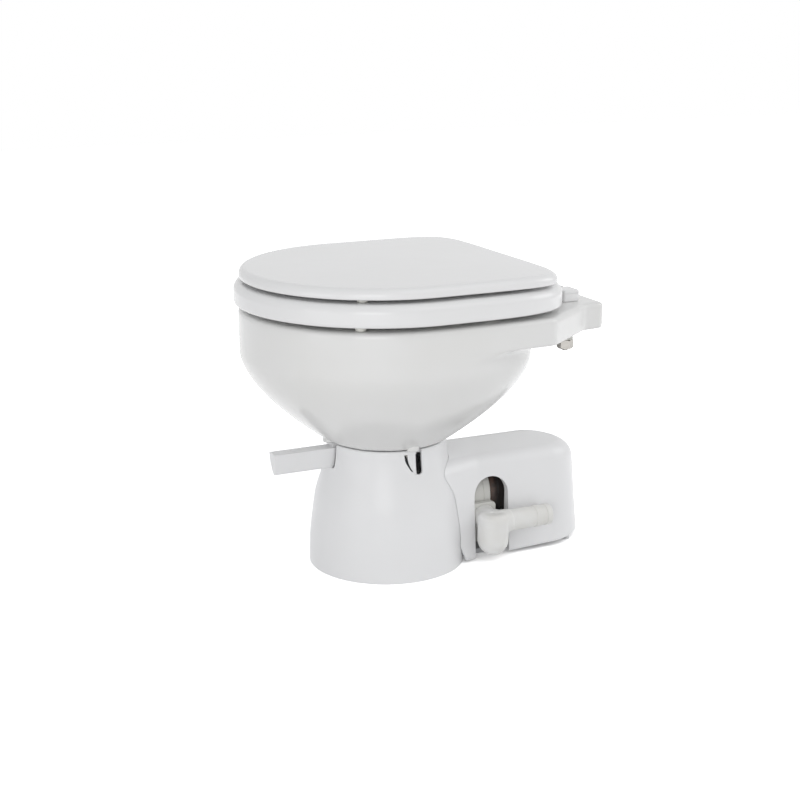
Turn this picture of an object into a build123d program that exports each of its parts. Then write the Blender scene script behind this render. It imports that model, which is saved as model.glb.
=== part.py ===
from build123d import *
import math
import os

# Electric marine toilet: china bowl on a moulded pedestal, with the pump and motor under a rear cover.
# Millimetres. The origin is on the floor under the middle of the pedestal, front towards -Y, up is +Z.

# Heights, from the floor up
pedestal_height = 148.0
gasket_thickness = 1.5
rim_height = 303.0
band_height = 50.0
seat_gap = 6.0
seat_thickness = 24.0
lid_gap = 4.0
lid_thickness = 13.0
foot_level = pedestal_height + gasket_thickness
band_level = rim_height - band_height
seat_level = rim_height + seat_gap
seat_top = seat_level + seat_thickness
lid_level = seat_top + lid_gap

# Bowl
rim_half_width = 156.5
rim_front = 166.0
rim_rear = 152.0
rim_centre = -5.0
foot_radius = 70.0
bowl_wall_at_rim = 30.0
opening_rear = 116.0
outlet_radius = 23.0
outlet_step = 1.2
bowl_floor_depth = 15.0
spigot_radius = 28.0
spigot_length = 22.0
rim_rounding = 4.0
bowl_curve_share = 1.6
hollow_curve_share = 2.6
front_squareness_share = 2.0
rear_squareness_share = 2.6
level_shares = (0, 0.1, 0.25, 0.45, 0.7, 1)
outline_point_count = 28
overrun = 20.0

# Rim slab, which runs on behind the bowl as the deck that carries the hinge
rim_step = 0.6
deck_half_width = 104.0
deck_rear = 221.0
deck_thickness = 30.5
deck_rise = 4.0
shoulder_y = 128.0
flare_end = 197.0
shoulder_rounding = 14.0
flare_rounding = 10.0
deck_corner_rounding = 9.0

# Bowl fixings
lug_circle = 68.0
lug_radius = 7.5
lug_height = 3.5
fixing_circle = 57.5
fixing_count = 4
fixing_radius = 2.9
fixing_hole_clearance = 0.4
fixing_reach = 11.0
fixing_head_radius = 5.0
fixing_head_height = 4.0
fixing_washer_radius = 6.2
fixing_washer_thickness = 1.2
gasket_inner = 40.0
gasket_outer = 51.0

# Pedestal
pedestal_foot_radius = 90.0
pedestal_neck_radius = 68.5
pedestal_wall = 4.5
pedestal_top_thickness = 5.0
pedestal_hole_radius = 33.0
pedestal_profile_shares = (
    (0.2, 0.97), (0.32, 0.9), (0.47, 0.76), (0.58, 0.64), (0.7, 0.38), (0.8, 0.17), (0.9, 0.05))
pocket_width = 21.0
pocket_depth = 27.0
pocket_inner_radius = 48.0
pocket_notch_radius = 63.5
pocket_tip_share = 0.12
pocket_wall = 3.0
fin_inner_radius = 65.0
fin_edge = 1.0
fin_set_back = 1.5
rear_opening_half_width = 38.5
rear_opening_clearance = 4.0

# Base frame inside the pedestal
frame_thickness = 6.0
frame_radius = 80.0
frame_tail_half_width = 37.5
frame_tail_end = 221.0
floor_hole_spacing = 100.0
floor_hole_radius = 4.5
skirt_screw_circle = 74.0
skirt_tab_half_width = 8.0
skirt_tab_thickness = 4.0
skirt_screw_radius = 2.0
skirt_screw_length = 8.0
skirt_screw_head_radius = 3.6
skirt_screw_head_height = 2.4
skirt_screw_angles = (210, 270, 330)

# Waste sump between bowl and pump
axis_height = 68.0
sump_wall = 3.5
seal_width = 3.5
seal_height = 10.0
sump_top_drop = 7.0
sump_bottom = 30.0
sump_floor = 4.0
sump_outlet_radius = 26.0
sump_outlet_end = 60.0
sump_pillar_radius = 20.0
inlet_seal_length = 8.0
inlet_spigot_length = 14.0
inlet_bore = 18.0

# Pump stack along the motor axis, from the sump rearwards
pump_radius = 36.0
chopper_housing_start = 64.0
chopper_housing_length = 24.0
cutter_plate_thickness = 3.0
volute_length = 27.0
adapter_length = 6.0
chopper_bore = 28.0
volute_bore = 29.0
pump_end_wall = 4.0
pump_screw_count = 4
pump_screw_first_angle = 45
pump_screw_circle = 32.5
pump_screw_radius = 2.0
pump_screw_head_radius = 3.2
pump_screw_head_height = 2.6
pump_screw_engagement = 4.5
pump_rib_width = 4.0
pump_rib_height = 5.0
pump_rib_top = 18.0
cutter_slot_radius = 5.0
cutter_slot_circle = 18.0
cutter_slot_count = 6
shaft_radius = 4.0
running_clearance = 0.05
blade_gap = 0.6
blade_thickness = 3.0
blade_reach = 25.0
blade_width = 9.0
blade_rounding = 3.0
blade_hub_radius = 8.0
impeller_radius = 25.0
impeller_hub_radius = 9.0
impeller_disc_thickness = 3.0
impeller_vane_height = 12.0
impeller_vane_thickness = 3.0
impeller_vane_count = 5
impeller_clearance = 1.0
seal_radius = 10.0
seal_bore_clearance = 0.05
pump_foot_half_width = 16.0
pump_foot_margin = 5.0

# Motor
motor_radius = 31.0
motor_length = 90.0
motor_wall = 2.0
motor_cap_length = 8.0
motor_cap_rounding = 3.0
motor_boss_radius = 13.0
motor_boss_length = 4.0
magnet_thickness = 6.0
magnet_length = 52.0
magnet_gap_half_width = 7.0
armature_radius = 21.0
armature_length = 54.0
armature_start = 16.0
armature_slot_count = 8
armature_slot_width = 3.0
armature_slot_depth = 7.0
commutator_radius = 9.0
commutator_length = 12.0
brush_width = 6.0
brush_clearance = 0.1
brush_holder_wall = 1.5
bearing_radius = 11.0
bearing_width = 6.0
pad_thickness = 3.0
cradle_thickness = 9.0
cradle_half_width = 24.0
cradle_places_shares = (0.2, 0.8)
gland_radius = 6.0
gland_length = 8.0
gland_bore = 3.2
gland_flange_radius = 7.0
gland_drop = 21.0
gland_flange_thickness = 3.0

# Discharge
discharge_y = 103.5
discharge_drop = 20.0
port_radius = 12.3
port_bore = 10.5
flange_half = 16.5
flange_start = 37.0
flange_thickness = 8.0
flange_rounding = 5.0
elbow_radius = 18.0
elbow_offset = 24.0
elbow_low = 38.0
elbow_high = 12.5
elbow_rounding = 7.0
elbow_nose_rounding = 17.9
elbow_spigot_radius = 9.0
elbow_spigot_length = 12.0
elbow_spigot_bore = 7.0
elbow_seal_length = 4.0
elbow_gap = 0.3
tail_radius = 12.5
tail_bore = 9.5
tail_reach = 74.0
tail_collar_radius = 13.5
tail_collar_reach = 20.5
swivel_clearance = 0.05
neck_radius = 14.5

# Pump cover
cover_half_width = 55.0
cover_centre = 194.5
cover_top = 122.0
cover_bottom = 3.0
cover_wall = 3.0
cover_rounding = 17.0
cover_draft_angle = 4.2
cover_front = 30.0
cover_flare_half_width = 73.0
cover_flare_end = 96.0
cover_flare_rounding = 30.0
cover_lip_height = 104.0
cover_lip_reach = 45.0
cover_gap = 0.9
arch_start = 88.0
arch_end = 133.5
arch_top = 97.0
cover_foot_radius = 3.5
cover_post_radius = 6.0
cover_foot_y = 226.0
cover_screw_height = 14.0
cover_screw_radius = 2.2
cover_screw_head_radius = 4.5
cover_screw_head_height = 2.5
cover_screw_length = 30.0
upstand_half_width = 9.0
upstand_thickness = 7.0
upstand_height = 22.0

# Seat and lid
seat_half_width = 161.0
seat_front = 171.0
seat_rear = 171.0
seat_centre = -6.0
seat_rounding = 9.5
seat_under_rounding = 3.0
seat_squareness_share = 4.2
seat_outline_point_count = 40
seat_hole_half_width = 104.0
seat_hole_front = 116.0
seat_hole_rear = 96.0
seat_hole_rounding = 7.0
lid_half_width = 152.5
lid_front = 165.0
lid_rear = 152.0
lid_centre = -8.0
lid_squareness_share = 7.5
lid_outline_point_count = 60
lid_rounding = 8.0
lid_under_rounding = 2.0
bumper_radius = 6.0
bumper_gap = 0.3
seat_bumper_places_shares = ((0.75, -0.5), (0.78, 0.36))
lid_bumper_places_shares = ((0.78, -0.5), (0.78, 0.4))

# Hinge
hinge_y = 190.0
hinge_rise = 8.0
hinge_pin_radius = 3.0
knuckle_radius = 6.4
knuckle_gap = 1.0
lid_knuckle_start = 31.0
lid_knuckle_width = 15.0
seat_knuckle_width = 15.0
post_width = 24.0
post_depth = 20.0
post_rise = 5.5
post_rounding = 3.0
strap_thickness = 5.5
strap_floor_gap = 1.8
riser_depth = 9.0
notch_clearance = 2.0
riser_gap = 3.0
seat_arm_overlap = 18.0
pin_inset = 3.0
stud_radius = 4.0
stud_hole_clearance = 1.0
stud_head_radius = 7.0
stud_head_height = 2.6
deck_boss_radius = 11.0
deck_boss_drop = 38.0
stud_washer_radius = 9.0
stud_washer_thickness = 6.5
stud_nut_radius = 9.5
stud_nut_height = 11.0
stud_tip = 2.0

# Rinse inlet
rinse_drop = 57.0
rinse_hole_radius = 8.0
rinse_tail_radius = 9.5
rinse_bore = 6.5
rinse_neck_radius = 7.7
rinse_flange_radius = 13.0
rinse_flange_thickness = 3.0
rinse_tail_length = 34.0
rinse_pad_radius = 15.0
rinse_pad_reach = 4.0

hinge_level = rim_height + hinge_rise
deck_boss_level = rim_height - deck_boss_drop
rinse_height = rim_height - rinse_drop
sump_top = pedestal_height - sump_top_drop
rear_opening_height = axis_height + pump_radius + rear_opening_clearance
cutter_start = chopper_housing_start + chopper_housing_length
volute_start = cutter_start + cutter_plate_thickness
adapter_start = volute_start + volute_length
motor_start = adapter_start + adapter_length
motor_end = motor_start + motor_length
discharge_level = axis_height - discharge_drop


def along_y(start, x=0, z=axis_height):
    """Plane at one station of a rearward axis, with its own Z pointing rearwards."""
    return Plane(origin=(x, start, z), x_dir=(1, 0, 0), z_dir=(0, 1, 0))


def along_x(start, y, z):
    """Plane at one station of a sideways axis, with its own Z pointing along +X."""
    return Plane(origin=(start, y, z), x_dir=(0, 1, 0), z_dir=(1, 0, 0))


def along_z(x, y, start):
    """Plane at one height over a place on the floor."""
    return Plane(origin=(x, y, start))


def rod(plane, radius, length):
    """Cylinder that grows from the plane along the plane's own Z."""
    return plane * Cylinder(radius, length, align=(Align.CENTER, Align.CENTER, Align.MIN))


def ring(plane, outer, inner, length):
    """Tube that grows from the plane along the plane's own Z."""
    return rod(plane, outer, length) - rod(plane, inner, length)


def block(low, high):
    """Box between two corners."""
    size = [top - bottom for bottom, top in zip(low, high)]
    middle = [(top + bottom) / 2 for bottom, top in zip(low, high)]
    return Pos(*middle) * Box(*size)


def both_sides(piece):
    """The piece and its mirror image on the other side of the middle plane."""
    return [piece, mirror(piece, about=Plane.YZ)]


def joined(solids):
    """Separate solids kept together in one node."""
    return Compound(children=[solid for shape in solids for solid in shape.solids()])


def polar_place(radius, degrees):
    """X and Y of a place on a circle about the origin."""
    return radius * math.cos(math.radians(degrees)), radius * math.sin(math.radians(degrees))


def egg_face(half_width, front, rear, centre, rear_squareness, level, point_count):
    """Plan outline with a round front and a squarer rear, as a face at one height."""
    points = []
    for index in range(point_count):
        angle = 2 * math.pi * index / point_count
        across = abs(math.cos(angle))
        along = abs(math.sin(angle))
        rearward = math.sin(angle) > 0
        power = rear_squareness if rearward else front_squareness_share
        reach = rear - centre if rearward else front + centre
        size = ((across / half_width) ** power + (along / reach) ** power) ** (-1 / power)
        points.append((size * math.cos(angle), centre + size * math.sin(angle), level))
    return make_face(Spline(*points, periodic=True))


def bowl_section(share, curve, small_radius, half_width, front, rear, low, high):
    """One level of the bowl, from a small circle below to the rim's outline above."""
    growth = 1 - (1 - share) ** curve
    squareness = front_squareness_share + (rear_squareness_share - front_squareness_share) * growth
    return egg_face(
        small_radius + (half_width - small_radius) * growth,
        small_radius + (front - small_radius) * growth,
        small_radius + (rear - small_radius) * growth,
        rim_centre * growth,
        squareness,
        low + (high - low) * share,
        outline_point_count,
    )


def bowl_form(curve, small_radius, half_width, front, rear, low, high, top):
    """Lofted bowl form with an upright band on top."""
    sections = [bowl_section(share, curve, small_radius, half_width, front, rear, low, high)
                for share in level_shares]
    return loft(sections) + extrude(sections[-1], amount=top - high, dir=(0, 0, 1))


def corners_at(plan, y):
    """The corners of a plan that lie at one place from front to rear."""
    return [corner for corner in plan.vertices() if math.isclose(corner.Y, y)]


def deck_plan():
    """Rim and deck seen from above: round in front, straight at the sides, narrower at the rear."""
    half = rim_half_width + rim_step
    reach = rim_front + rim_centre + rim_step
    right = [(half, rim_centre), (half, shoulder_y), (deck_half_width, flare_end),
             (deck_half_width, deck_rear)]
    left = [(-x, y) for x, y in reversed(right)]
    front = EllipticalCenterArc((0, rim_centre), half, reach, 180, arc_size=180)
    plan = make_face(front + Polyline(*right, *left))
    for y, rounding in ((shoulder_y, shoulder_rounding), (flare_end, flare_rounding),
                        (deck_rear, deck_corner_rounding)):
        plan = fillet(corners_at(plan, y), rounding)
    return plan


def deck_form():
    """Flat slab of the rim and the deck, with its underside rising a little at the rear."""
    low = rim_height - deck_thickness
    slab = extrude(Pos(0, 0, low) * deck_plan(), amount=deck_thickness)
    slab = fillet(slab.faces().sort_by(Axis.Z)[-1].outer_wire().edges(), rim_rounding)
    under = make_face(Plane.YZ * Polyline(
        (flare_end, low - overrun),
        (flare_end, low),
        (deck_rear, low + deck_rise),
        (deck_rear + overrun, low + deck_rise),
        (deck_rear + overrun, low - overrun),
        close=True))
    return slab - extrude(under, amount=rim_half_width, both=True)


def rinse_station():
    """Rear face of the rinse pad on the bowl."""
    return rim_rear + rinse_pad_reach


def make_bowl():
    outer = bowl_form(bowl_curve_share, foot_radius, rim_half_width, rim_front, rim_rear,
                      foot_level, band_level, rim_height - deck_thickness / 2)
    body = outer + deck_form()
    hollow = bowl_form(hollow_curve_share, outlet_radius + outlet_step,
                       rim_half_width - bowl_wall_at_rim, rim_front - bowl_wall_at_rim, opening_rear,
                       foot_level + bowl_floor_depth, band_level, rim_height + overrun)
    pad_start = opening_rear + bowl_wall_at_rim / 2
    body += rod(along_y(pad_start, 0, rinse_height), rinse_pad_radius, rinse_station() - pad_start)
    for x in (-hinge_bolt_x(), hinge_bolt_x()):
        body += rod(along_z(x, hinge_y, deck_boss_level), deck_boss_radius,
                    rim_height - deck_boss_level - rim_rounding)
    for index in range(fixing_count):
        x, y = polar_place(lug_circle, 360 * index / fixing_count)
        body += rod(along_z(x, y, foot_level), lug_radius, lug_height)
        body += Pos(x, y, foot_level + lug_height) * Sphere(lug_radius)
    body -= rod(along_z(0, 0, foot_level - overrun), foot_radius + overrun, overrun)
    body += rod(along_z(0, 0, foot_level - spigot_length), spigot_radius,
                spigot_length + bowl_floor_depth)
    body -= hollow
    body -= rod(along_z(0, 0, foot_level - spigot_length - overrun), outlet_radius,
                spigot_length + bowl_floor_depth + 2 * overrun)
    for index in range(fixing_count):
        x, y = polar_place(fixing_circle, 360 * index / fixing_count)
        body -= rod(along_z(x, y, foot_level - overrun), fixing_radius, fixing_reach + overrun)
    for x in (-hinge_bolt_x(), hinge_bolt_x()):
        body -= rod(along_z(x, hinge_y, deck_boss_level - overrun), stud_radius + stud_hole_clearance,
                    rim_height - deck_boss_level + 2 * overrun)
    body -= rod(along_y(0, 0, rinse_height), rinse_hole_radius, rinse_station() + overrun)
    return body


def pedestal_profile(shrink, growth):
    """Half section of the pedestal's flare, drawn in or out, from the floor up to the top."""
    span = pedestal_foot_radius - pedestal_neck_radius
    points = [(pedestal_foot_radius + growth - shrink, 0)]
    for height_share, width_share in pedestal_profile_shares:
        points.append((pedestal_neck_radius + growth - shrink + span * width_share,
                       pedestal_height * height_share))
    points.append((pedestal_neck_radius + growth - shrink, pedestal_height))
    return points


def pedestal_form(shrink=0, growth=0):
    """Solid of revolution inside the pedestal's flare."""
    points = pedestal_profile(shrink, growth)
    curve = Spline(*points)
    half = make_face(Plane.XZ * (curve + Polyline(points[-1], (0, pedestal_height), (0, 0), points[0])))
    return revolve(half, Axis.Z)


def pocket_outline(margin):
    """Pointed pocket, drawn across and up, seen from outside the pedestal."""
    half = pocket_width / 2 + margin
    tip = pocket_width * pocket_tip_share + margin
    low = pedestal_height - pocket_depth - margin
    return Polyline((-half, pedestal_height), (-tip, low), (tip, low), (half, pedestal_height), close=True)


def pocket_form(angle, inner, margin, ceiling):
    """Wedge that runs outwards from an inner radius through the skirt at one angle."""
    across = Plane(origin=(inner, 0, 0), x_dir=(0, 1, 0), z_dir=(1, 0, 0))
    wedge = extrude(make_face(across * pocket_outline(margin)), amount=pedestal_foot_radius)
    wedge -= block((0, -pocket_width, pedestal_height - ceiling),
                   (2 * pedestal_foot_radius, pocket_width, pedestal_height + overrun))
    return Rot(0, 0, angle) * wedge


def pocket_fin(angle):
    """Rib that closes the clockwise half of a pocket, a little behind the skirt's surface."""
    side = block((0, -pocket_width, 0), (2 * pedestal_foot_radius, fin_edge, pedestal_height))
    fin = pocket_form(angle, fin_inner_radius, 0, 0) & (Rot(0, 0, angle) * side)
    return fin & pedestal_form(shrink=fin_set_back)


def make_pedestal():
    shell = pedestal_form()
    inside = pedestal_form(shrink=pedestal_wall)
    inside -= rod(along_z(0, 0, pedestal_height - pedestal_top_thickness), pedestal_foot_radius,
                  pedestal_top_thickness + overrun)
    shell -= inside
    angles = [360 * index / fixing_count for index in range(fixing_count)]
    bosses = [pocket_form(angle, pocket_inner_radius - pocket_wall, pocket_wall, 0) for angle in angles]
    for boss in bosses:
        shell += boss & pedestal_form(shrink=pedestal_wall / 2)
    for angle in angles:
        shell -= pocket_form(angle, pocket_inner_radius, 0, pedestal_top_thickness)
        shell -= pocket_form(angle, pocket_notch_radius, 0, 0)
        x, y = polar_place(fixing_circle, angle)
        shell -= rod(along_z(x, y, 0), fixing_radius + fixing_hole_clearance, pedestal_height + overrun)
        shell += pocket_fin(angle)
    shell -= rod(along_z(0, 0, 0), pedestal_hole_radius, pedestal_height + overrun)
    shell -= block((-rear_opening_half_width, fixing_circle, -overrun),
                   (rear_opening_half_width, pedestal_foot_radius + overrun, rear_opening_height))
    for angle in skirt_screw_angles:
        tab = block((skirt_screw_circle - skirt_tab_half_width, -skirt_tab_half_width, frame_thickness),
                    (pedestal_foot_radius, skirt_tab_half_width, frame_thickness + skirt_tab_thickness))
        shell += (Rot(0, 0, angle) * tab) & pedestal_form(shrink=pedestal_wall / 2)
        x, y = polar_place(skirt_screw_circle, angle)
        shell -= rod(along_z(x, y, 0), skirt_screw_radius, frame_thickness + skirt_tab_thickness + overrun)
    return shell


def make_bowl_gasket():
    return ring(along_z(0, 0, pedestal_height), gasket_outer, gasket_inner, gasket_thickness)


def fixing_head_level():
    """Underside of the washer that the bowl screws pull against."""
    return pedestal_height - pedestal_top_thickness - fixing_washer_thickness


def make_bowl_screws():
    screws = []
    for index in range(fixing_count):
        x, y = polar_place(fixing_circle, 360 * index / fixing_count)
        head = Plane(origin=(x, y, fixing_head_level() - fixing_head_height))
        hexagon = extrude(head * RegularPolygon(fixing_head_radius, 6), amount=fixing_head_height)
        shank = rod(along_z(x, y, fixing_head_level()), fixing_radius,
                    foot_level + fixing_reach - fixing_head_level())
        screws.append(hexagon + shank)
    return joined(screws)


def make_bowl_screw_washers():
    washers = []
    for index in range(fixing_count):
        x, y = polar_place(fixing_circle, 360 * index / fixing_count)
        washers.append(ring(along_z(x, y, fixing_head_level()), fixing_washer_radius, fixing_radius,
                            fixing_washer_thickness))
    return joined(washers)


def cradle_stations():
    """Front faces of the two motor cradles."""
    return [motor_start + motor_length * share - cradle_thickness / 2 for share in cradle_places_shares]


def make_base_frame():
    body = rod(along_z(0, 0, 0), frame_radius, frame_thickness)
    body += block((-frame_tail_half_width, 0, 0), (frame_tail_half_width, frame_tail_end, frame_thickness))
    body += rod(along_z(0, 0, frame_thickness), sump_pillar_radius, sump_bottom - frame_thickness)
    for start in cradle_stations():
        cradle = block((-cradle_half_width, start, frame_thickness),
                       (cradle_half_width, start + cradle_thickness, axis_height))
        body += cradle - rod(along_y(start - overrun), motor_radius + pad_thickness,
                             cradle_thickness + 2 * overrun)
    body += block((-upstand_half_width, frame_tail_end - upstand_thickness, frame_thickness),
                  (upstand_half_width, frame_tail_end, upstand_height))
    half = floor_hole_spacing / 2
    for x in (-half, half):
        for y in (-half, half):
            body -= rod(along_z(x, y, -overrun), floor_hole_radius, frame_thickness + 2 * overrun)
    for angle in skirt_screw_angles:
        x, y = polar_place(skirt_screw_circle, angle)
        body -= rod(along_z(x, y, frame_thickness + skirt_tab_thickness - skirt_screw_length),
                    skirt_screw_radius, skirt_screw_length)
    body -= rod(along_y(cover_screw_tip(), 0, cover_screw_height), cover_screw_radius, overrun)
    return body


def make_skirt_screws():
    screws = []
    for angle in skirt_screw_angles:
        x, y = polar_place(skirt_screw_circle, angle)
        level = frame_thickness + skirt_tab_thickness
        shank = rod(along_z(x, y, level - skirt_screw_length), skirt_screw_radius, skirt_screw_length)
        screws.append(shank + rod(along_z(x, y, level), skirt_screw_head_radius, skirt_screw_head_height))
    return joined(screws)


def sump_bore():
    return spigot_radius + seal_width


def make_sump():
    outer = sump_bore() + sump_wall
    body = rod(along_z(0, 0, sump_bottom), outer, sump_top - sump_bottom)
    body += rod(along_y(0), sump_outlet_radius + sump_wall, sump_outlet_end)
    body -= rod(along_z(0, 0, sump_bottom + sump_floor), sump_bore(), sump_top)
    body -= rod(along_y(0), sump_outlet_radius, sump_outlet_end + overrun)
    return body


def make_bowl_seal():
    return ring(along_z(0, 0, sump_top - seal_height), sump_bore(), spigot_radius, seal_height)


def pump_screw_places():
    """Places of the pump screws about the motor axis, drawn on a plane along that axis."""
    return [polar_place(pump_screw_circle, pump_screw_first_angle + 360 * index / pump_screw_count)
            for index in range(pump_screw_count)]


def drilled(body, start, length, radius):
    """The body with the four pump screw holes through it."""
    for x, z in pump_screw_places():
        body -= rod(along_y(start - overrun, x, axis_height + z), radius, length + 2 * overrun)
    return body


def make_chopper_housing():
    start = chopper_housing_start
    spigot = sump_outlet_radius - seal_width
    body = rod(along_y(start), pump_radius, chopper_housing_length)
    body += rod(along_y(start - inlet_spigot_length), spigot, inlet_spigot_length)
    body -= rod(along_y(start + pump_end_wall), chopper_bore, chopper_housing_length)
    body -= rod(along_y(start - inlet_spigot_length - overrun), inlet_bore,
                inlet_spigot_length + chopper_housing_length)
    return drilled(body, start, chopper_housing_length, pump_screw_radius)


def make_inlet_seal():
    return ring(along_y(sump_outlet_end - inlet_seal_length), sump_outlet_radius,
                sump_outlet_radius - seal_width, inlet_seal_length)


def make_cutter_plate():
    body = ring(along_y(cutter_start), pump_radius, shaft_radius + impeller_clearance, cutter_plate_thickness)
    for index in range(cutter_slot_count):
        x, z = polar_place(cutter_slot_circle, 360 * index / cutter_slot_count)
        body -= rod(along_y(cutter_start - overrun, x, axis_height + z), cutter_slot_radius,
                    cutter_plate_thickness + 2 * overrun)
    return drilled(body, cutter_start, cutter_plate_thickness, pump_screw_radius)


def make_impeller_housing():
    start = volute_start
    body = rod(along_y(start), pump_radius, volute_length)
    body += rod(along_x(0, discharge_y, discharge_level), port_radius, flange_start)
    flange = Plane(origin=(flange_start, discharge_y, discharge_level), x_dir=(0, 1, 0), z_dir=(1, 0, 0))
    body += extrude(flange * RectangleRounded(2 * flange_half, 2 * flange_half, flange_rounding),
                    amount=flange_thickness)
    foot_start = start + pump_foot_margin
    body += block((-pump_foot_half_width, foot_start, frame_thickness),
                  (pump_foot_half_width, start + volute_length - pump_foot_margin, axis_height))
    rib = block((0, start, axis_height), (pump_radius + pump_rib_height, start + pump_rib_width,
                                          axis_height + pump_rib_top))
    body += rib & rod(along_y(start), pump_radius + pump_rib_height, volute_length)
    body -= rod(along_y(start), volute_bore, volute_length - pump_end_wall)
    body -= rod(along_y(start), seal_radius, volute_length + overrun)
    body -= rod(along_x(impeller_radius - port_radius, discharge_y, discharge_level), port_bore,
                flange_start + flange_thickness)
    return drilled(body, start, volute_length, pump_screw_radius)


def make_motor_adapter():
    body = rod(along_y(adapter_start), pump_radius, adapter_length)
    body += rod(along_y(motor_start), bearing_radius + motor_wall, bearing_width)
    body -= rod(along_y(motor_start), bearing_radius, bearing_width + overrun)
    body -= rod(along_y(adapter_start - overrun), shaft_radius + impeller_clearance,
                adapter_length + 2 * overrun)
    return drilled(body, adapter_start, adapter_length, pump_screw_radius)


def make_pump_screws():
    screws = []
    length = adapter_start + pump_screw_engagement - chopper_housing_start
    for x, z in pump_screw_places():
        head = rod(along_y(chopper_housing_start - pump_screw_head_height, x, axis_height + z),
                   pump_screw_head_radius, pump_screw_head_height)
        screws.append(head + rod(along_y(chopper_housing_start, x, axis_height + z), pump_screw_radius, length))
    return joined(screws)


def make_shaft_seal():
    return ring(along_y(adapter_start - pump_end_wall), seal_radius, shaft_radius + seal_bore_clearance,
                pump_end_wall)


def shaft_front():
    return cutter_start - blade_gap - blade_thickness


def shaft_rear():
    return motor_end + bearing_width


def make_shaft():
    return rod(along_y(shaft_front()), shaft_radius, shaft_rear() - shaft_front())


def make_chopper_blade():
    plane = along_y(shaft_front())
    body = rod(plane, blade_hub_radius, blade_thickness)
    body += extrude(plane * RectangleRounded(2 * blade_reach, blade_width, blade_rounding),
                    amount=blade_thickness)
    return body - rod(plane, shaft_radius, blade_thickness)


def make_impeller():
    start = volute_start + impeller_clearance
    disc = start + impeller_vane_height
    body = rod(along_y(start), impeller_hub_radius, impeller_vane_height)
    body += rod(along_y(disc), impeller_radius, impeller_disc_thickness)
    for index in range(impeller_vane_count):
        vane = block((0, start, -impeller_vane_thickness / 2),
                     (impeller_radius - impeller_clearance, disc, impeller_vane_thickness / 2))
        body += Pos(0, 0, axis_height) * (Rot(0, 360 * index / impeller_vane_count, 0) * vane)
    return body - rod(along_y(start - overrun), shaft_radius,
                      impeller_vane_height + impeller_disc_thickness + 2 * overrun)


def make_motor_can():
    body = rod(along_y(motor_start), motor_radius, motor_length)
    body -= rod(along_y(motor_start), motor_radius - motor_wall, motor_length + overrun)
    return body


def make_magnets():
    outer = motor_radius - motor_wall
    band = ring(along_y(magnet_start()), outer, outer - magnet_thickness, magnet_length)
    high = block((-magnet_gap_half_width, magnet_start(), axis_height - outer),
                 (magnet_gap_half_width, magnet_start() + magnet_length, axis_height + outer))
    return joined([band - high])


def magnet_start():
    return motor_start + armature_start + (armature_length - magnet_length) / 2


def make_armature():
    start = motor_start + armature_start
    body = rod(along_y(start), armature_radius, armature_length)
    for index in range(armature_slot_count):
        slot = block((armature_radius - armature_slot_depth, start, -armature_slot_width / 2),
                     (armature_radius + overrun, start + armature_length, armature_slot_width / 2))
        body -= Pos(0, 0, axis_height) * (Rot(0, 360 * index / armature_slot_count, 0) * slot)
    body += rod(along_y(start + armature_length), commutator_radius, commutator_length)
    return body - rod(along_y(start - overrun), shaft_radius, armature_length + commutator_length + 2 * overrun)


def brush_station():
    """Middle of the commutator along the motor axis."""
    return motor_start + armature_start + armature_length + commutator_length / 2


def make_brushes():
    inner = commutator_radius + brush_clearance
    outer = motor_radius - motor_wall - brush_holder_wall
    half = brush_width / 2
    y = brush_station()
    brush = block((inner, y - half, axis_height - half), (outer, y + half, axis_height + half))
    return joined(both_sides(brush))


def make_brush_holders():
    outer = motor_radius - motor_wall
    half = brush_width / 2
    wall = brush_holder_wall
    y = brush_station()
    holder = block((armature_radius - wall, y - half - wall, axis_height - half - wall),
                   (outer, y + half + wall, axis_height + half + wall))
    holder &= rod(along_y(motor_start), outer, motor_length)
    holder -= block((0, y - half, axis_height - half), (outer - wall, y + half, axis_height + half))
    return joined(both_sides(holder))


def make_motor_end_cap():
    body = rod(along_y(motor_end), motor_radius, motor_cap_length)
    body = fillet(body.edges().sort_by(Axis.Y)[-1], motor_cap_rounding)
    body += rod(along_y(motor_end + motor_cap_length - motor_cap_rounding), motor_boss_radius,
                motor_cap_rounding + motor_boss_length)
    body -= rod(along_y(motor_end), bearing_radius, bearing_width)
    body -= rod(along_y(motor_end, 0, gland_level()), gland_radius, motor_cap_length + overrun)
    return body


def gland_level():
    return axis_height - gland_drop


def make_cable_gland():
    end = motor_end + motor_cap_length
    body = rod(along_y(motor_end, 0, gland_level()), gland_radius, motor_cap_length)
    body += rod(along_y(end, 0, gland_level()), gland_flange_radius, gland_flange_thickness)
    body += rod(along_y(end, 0, gland_level()), gland_radius, gland_length)
    return body - rod(along_y(motor_end - overrun, 0, gland_level()), gland_bore,
                      motor_cap_length + gland_length + 2 * overrun)


def make_bearings():
    front = ring(along_y(motor_start), bearing_radius, shaft_radius + running_clearance, bearing_width)
    rear = ring(along_y(motor_end), bearing_radius, shaft_radius + running_clearance, bearing_width)
    return joined([front, rear])


def make_motor_pads():
    pads = []
    for start in cradle_stations():
        band = ring(along_y(start), motor_radius + pad_thickness, motor_radius, cradle_thickness)
        pads.append(band & block((-cradle_half_width, start, 0),
                                 (cradle_half_width, start + cradle_thickness, axis_height)))
    return joined(pads)


def flange_face():
    return flange_start + flange_thickness


def elbow_axis_x():
    """Upright axis of the elbow body."""
    return flange_face() + elbow_gap + elbow_offset


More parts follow.
